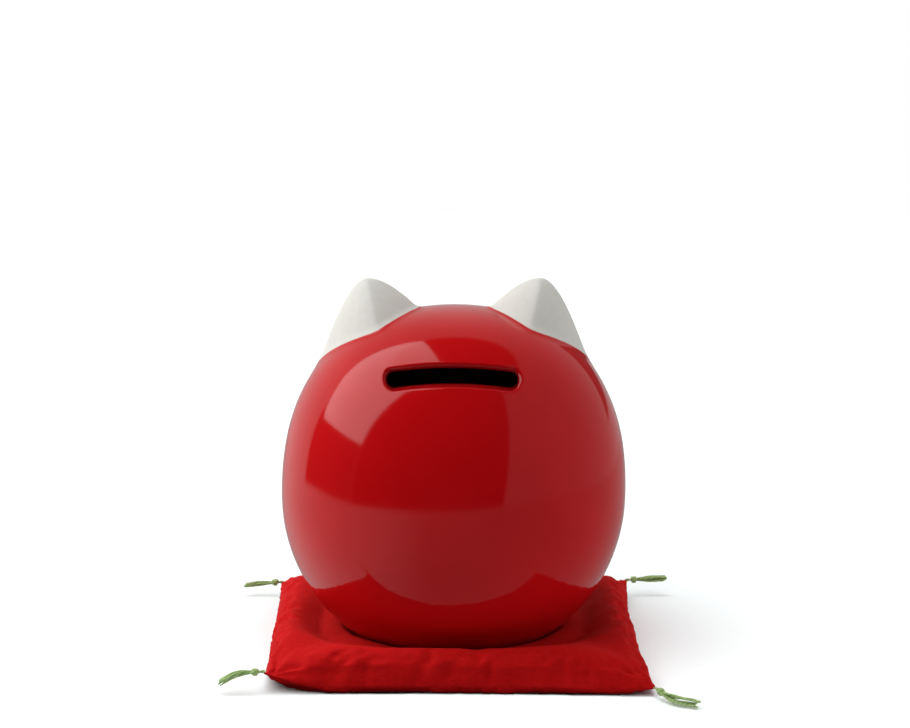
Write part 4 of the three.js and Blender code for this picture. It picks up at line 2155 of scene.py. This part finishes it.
    def add_scrim(self, scrim: Scrim) -> bpy.types.Object:
        """Hangs a scrim whose soft light the glaze doesn't mirror.

        Args:
            scrim: Its place, size and radiance.

        Returns:
            The light.
        """
        towards = Vector(scrim.place).normalized()
        data = bpy.data.lights.new(scrim.name, "AREA")
        data.shape = "DISK"
        data.size = scrim.across
        data.energy = scrim.radiance * math.pi * math.pi * scrim.across**2 / 4
        lamp = bpy.data.objects.new(scrim.name, data)
        lamp.location = scrim.place
        lamp.rotation_mode = "QUATERNION"
        lamp.rotation_quaternion = towards.to_track_quat("Z", "Y")
        lamp.visible_camera = lamp.visible_glossy = False
        bpy.context.scene.collection.objects.link(lamp)
        return lamp

    def add_wash(self) -> bpy.types.Object:
        """Hangs the broad light that washes the paper to white, and gives it back."""
        data = bpy.data.lights.new("paper_wash", "SUN")
        data.angle = math.radians(self.wash_angle)
        data.energy = self.wash_strength
        lamp = bpy.data.objects.new("paper_wash", data)
        lamp.rotation_mode = "QUATERNION"
        lamp.rotation_quaternion = Vector(self.wash_place).to_track_quat("Z", "Y")
        lamp.visible_glossy = False
        bpy.context.scene.collection.objects.link(lamp)
        return lamp

    def share_light(
        self, paper: bpy.types.Object, lamps: Sequence[bpy.types.Object], wash: bpy.types.Object
    ) -> None:
        """Keeps the bank's lamps off the paper, and the paper's wash off the bank.

        Args:
            paper: The floor.
            lamps: The lamps that light the bank alone.
            wash: The lamp that lights the paper alone.
        """
        for lamp, state in [(lamp, "EXCLUDE") for lamp in lamps] + [(wash, "INCLUDE")]:
            group = bpy.data.collections.new(f"lit_by_{lamp.name}")
            group.objects.link(paper)
            group.collection_objects[0].light_linking.link_state = state
            lamp.light_linking.receiver_collection = group

    def build(self) -> None:
        """Sets up the whole studio."""
        self.add_camera()
        self.add_world()
        paper = self.add_paper()
        self.add_flag()
        lamps = [self.add_softbox(), *(self.add_scrim(scrim) for scrim in self.scrims)]
        self.share_light(paper, lamps, self.add_wash())
        log.info("studio: camera, surround, paper, backdrop and softbox")


def place_piece(piece: bpy.types.Object, slot: Slot, *replaced: str) -> None:
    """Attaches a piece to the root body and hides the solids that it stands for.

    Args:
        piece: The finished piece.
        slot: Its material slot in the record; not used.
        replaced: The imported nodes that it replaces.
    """
    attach(piece, ROOT_BODY)
    if replaced:
        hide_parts(*replaced)
    log.info("%s: %d faces", piece.name, len(piece.data.polygons))


def main() -> None:
    """Builds and dresses every piece of the coin bank."""
    logging.basicConfig(level=logging.INFO, format="%(name)s: %(message)s")
    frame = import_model()
    Studio().build()

    bank = Bank()
    body = bank.build()
    body.data.materials.append(DippedGlaze().material(bank.paint))
    place_piece(body, Slot.RED_GLAZE, "bank_body")

    stopper = Stopper().dress(frame["nodes"])
    log.info("%s: rubber over its own solid", stopper.name)

    cushion = Cushion().build(bank)
    cushion.data.materials.append(CrepeFabric().material())
    place_piece(cushion, Slot.RED_CREPE, "cushion")

    # The darker green is painted shade between the thread's plies.
    green = CottonThread("yellow_green_cotton_thread", "C3DF9A", "8FB062").material()
    for number, corner in enumerate(CORNERS):
        tassel = Tassel(corner, seed=11 + number).build()
        tassel.data.materials.append(green)
        place_piece(tassel, Slot.GREEN_THREAD, f"tassel_{corner.name}")


if __name__ == "__main__":
    main()
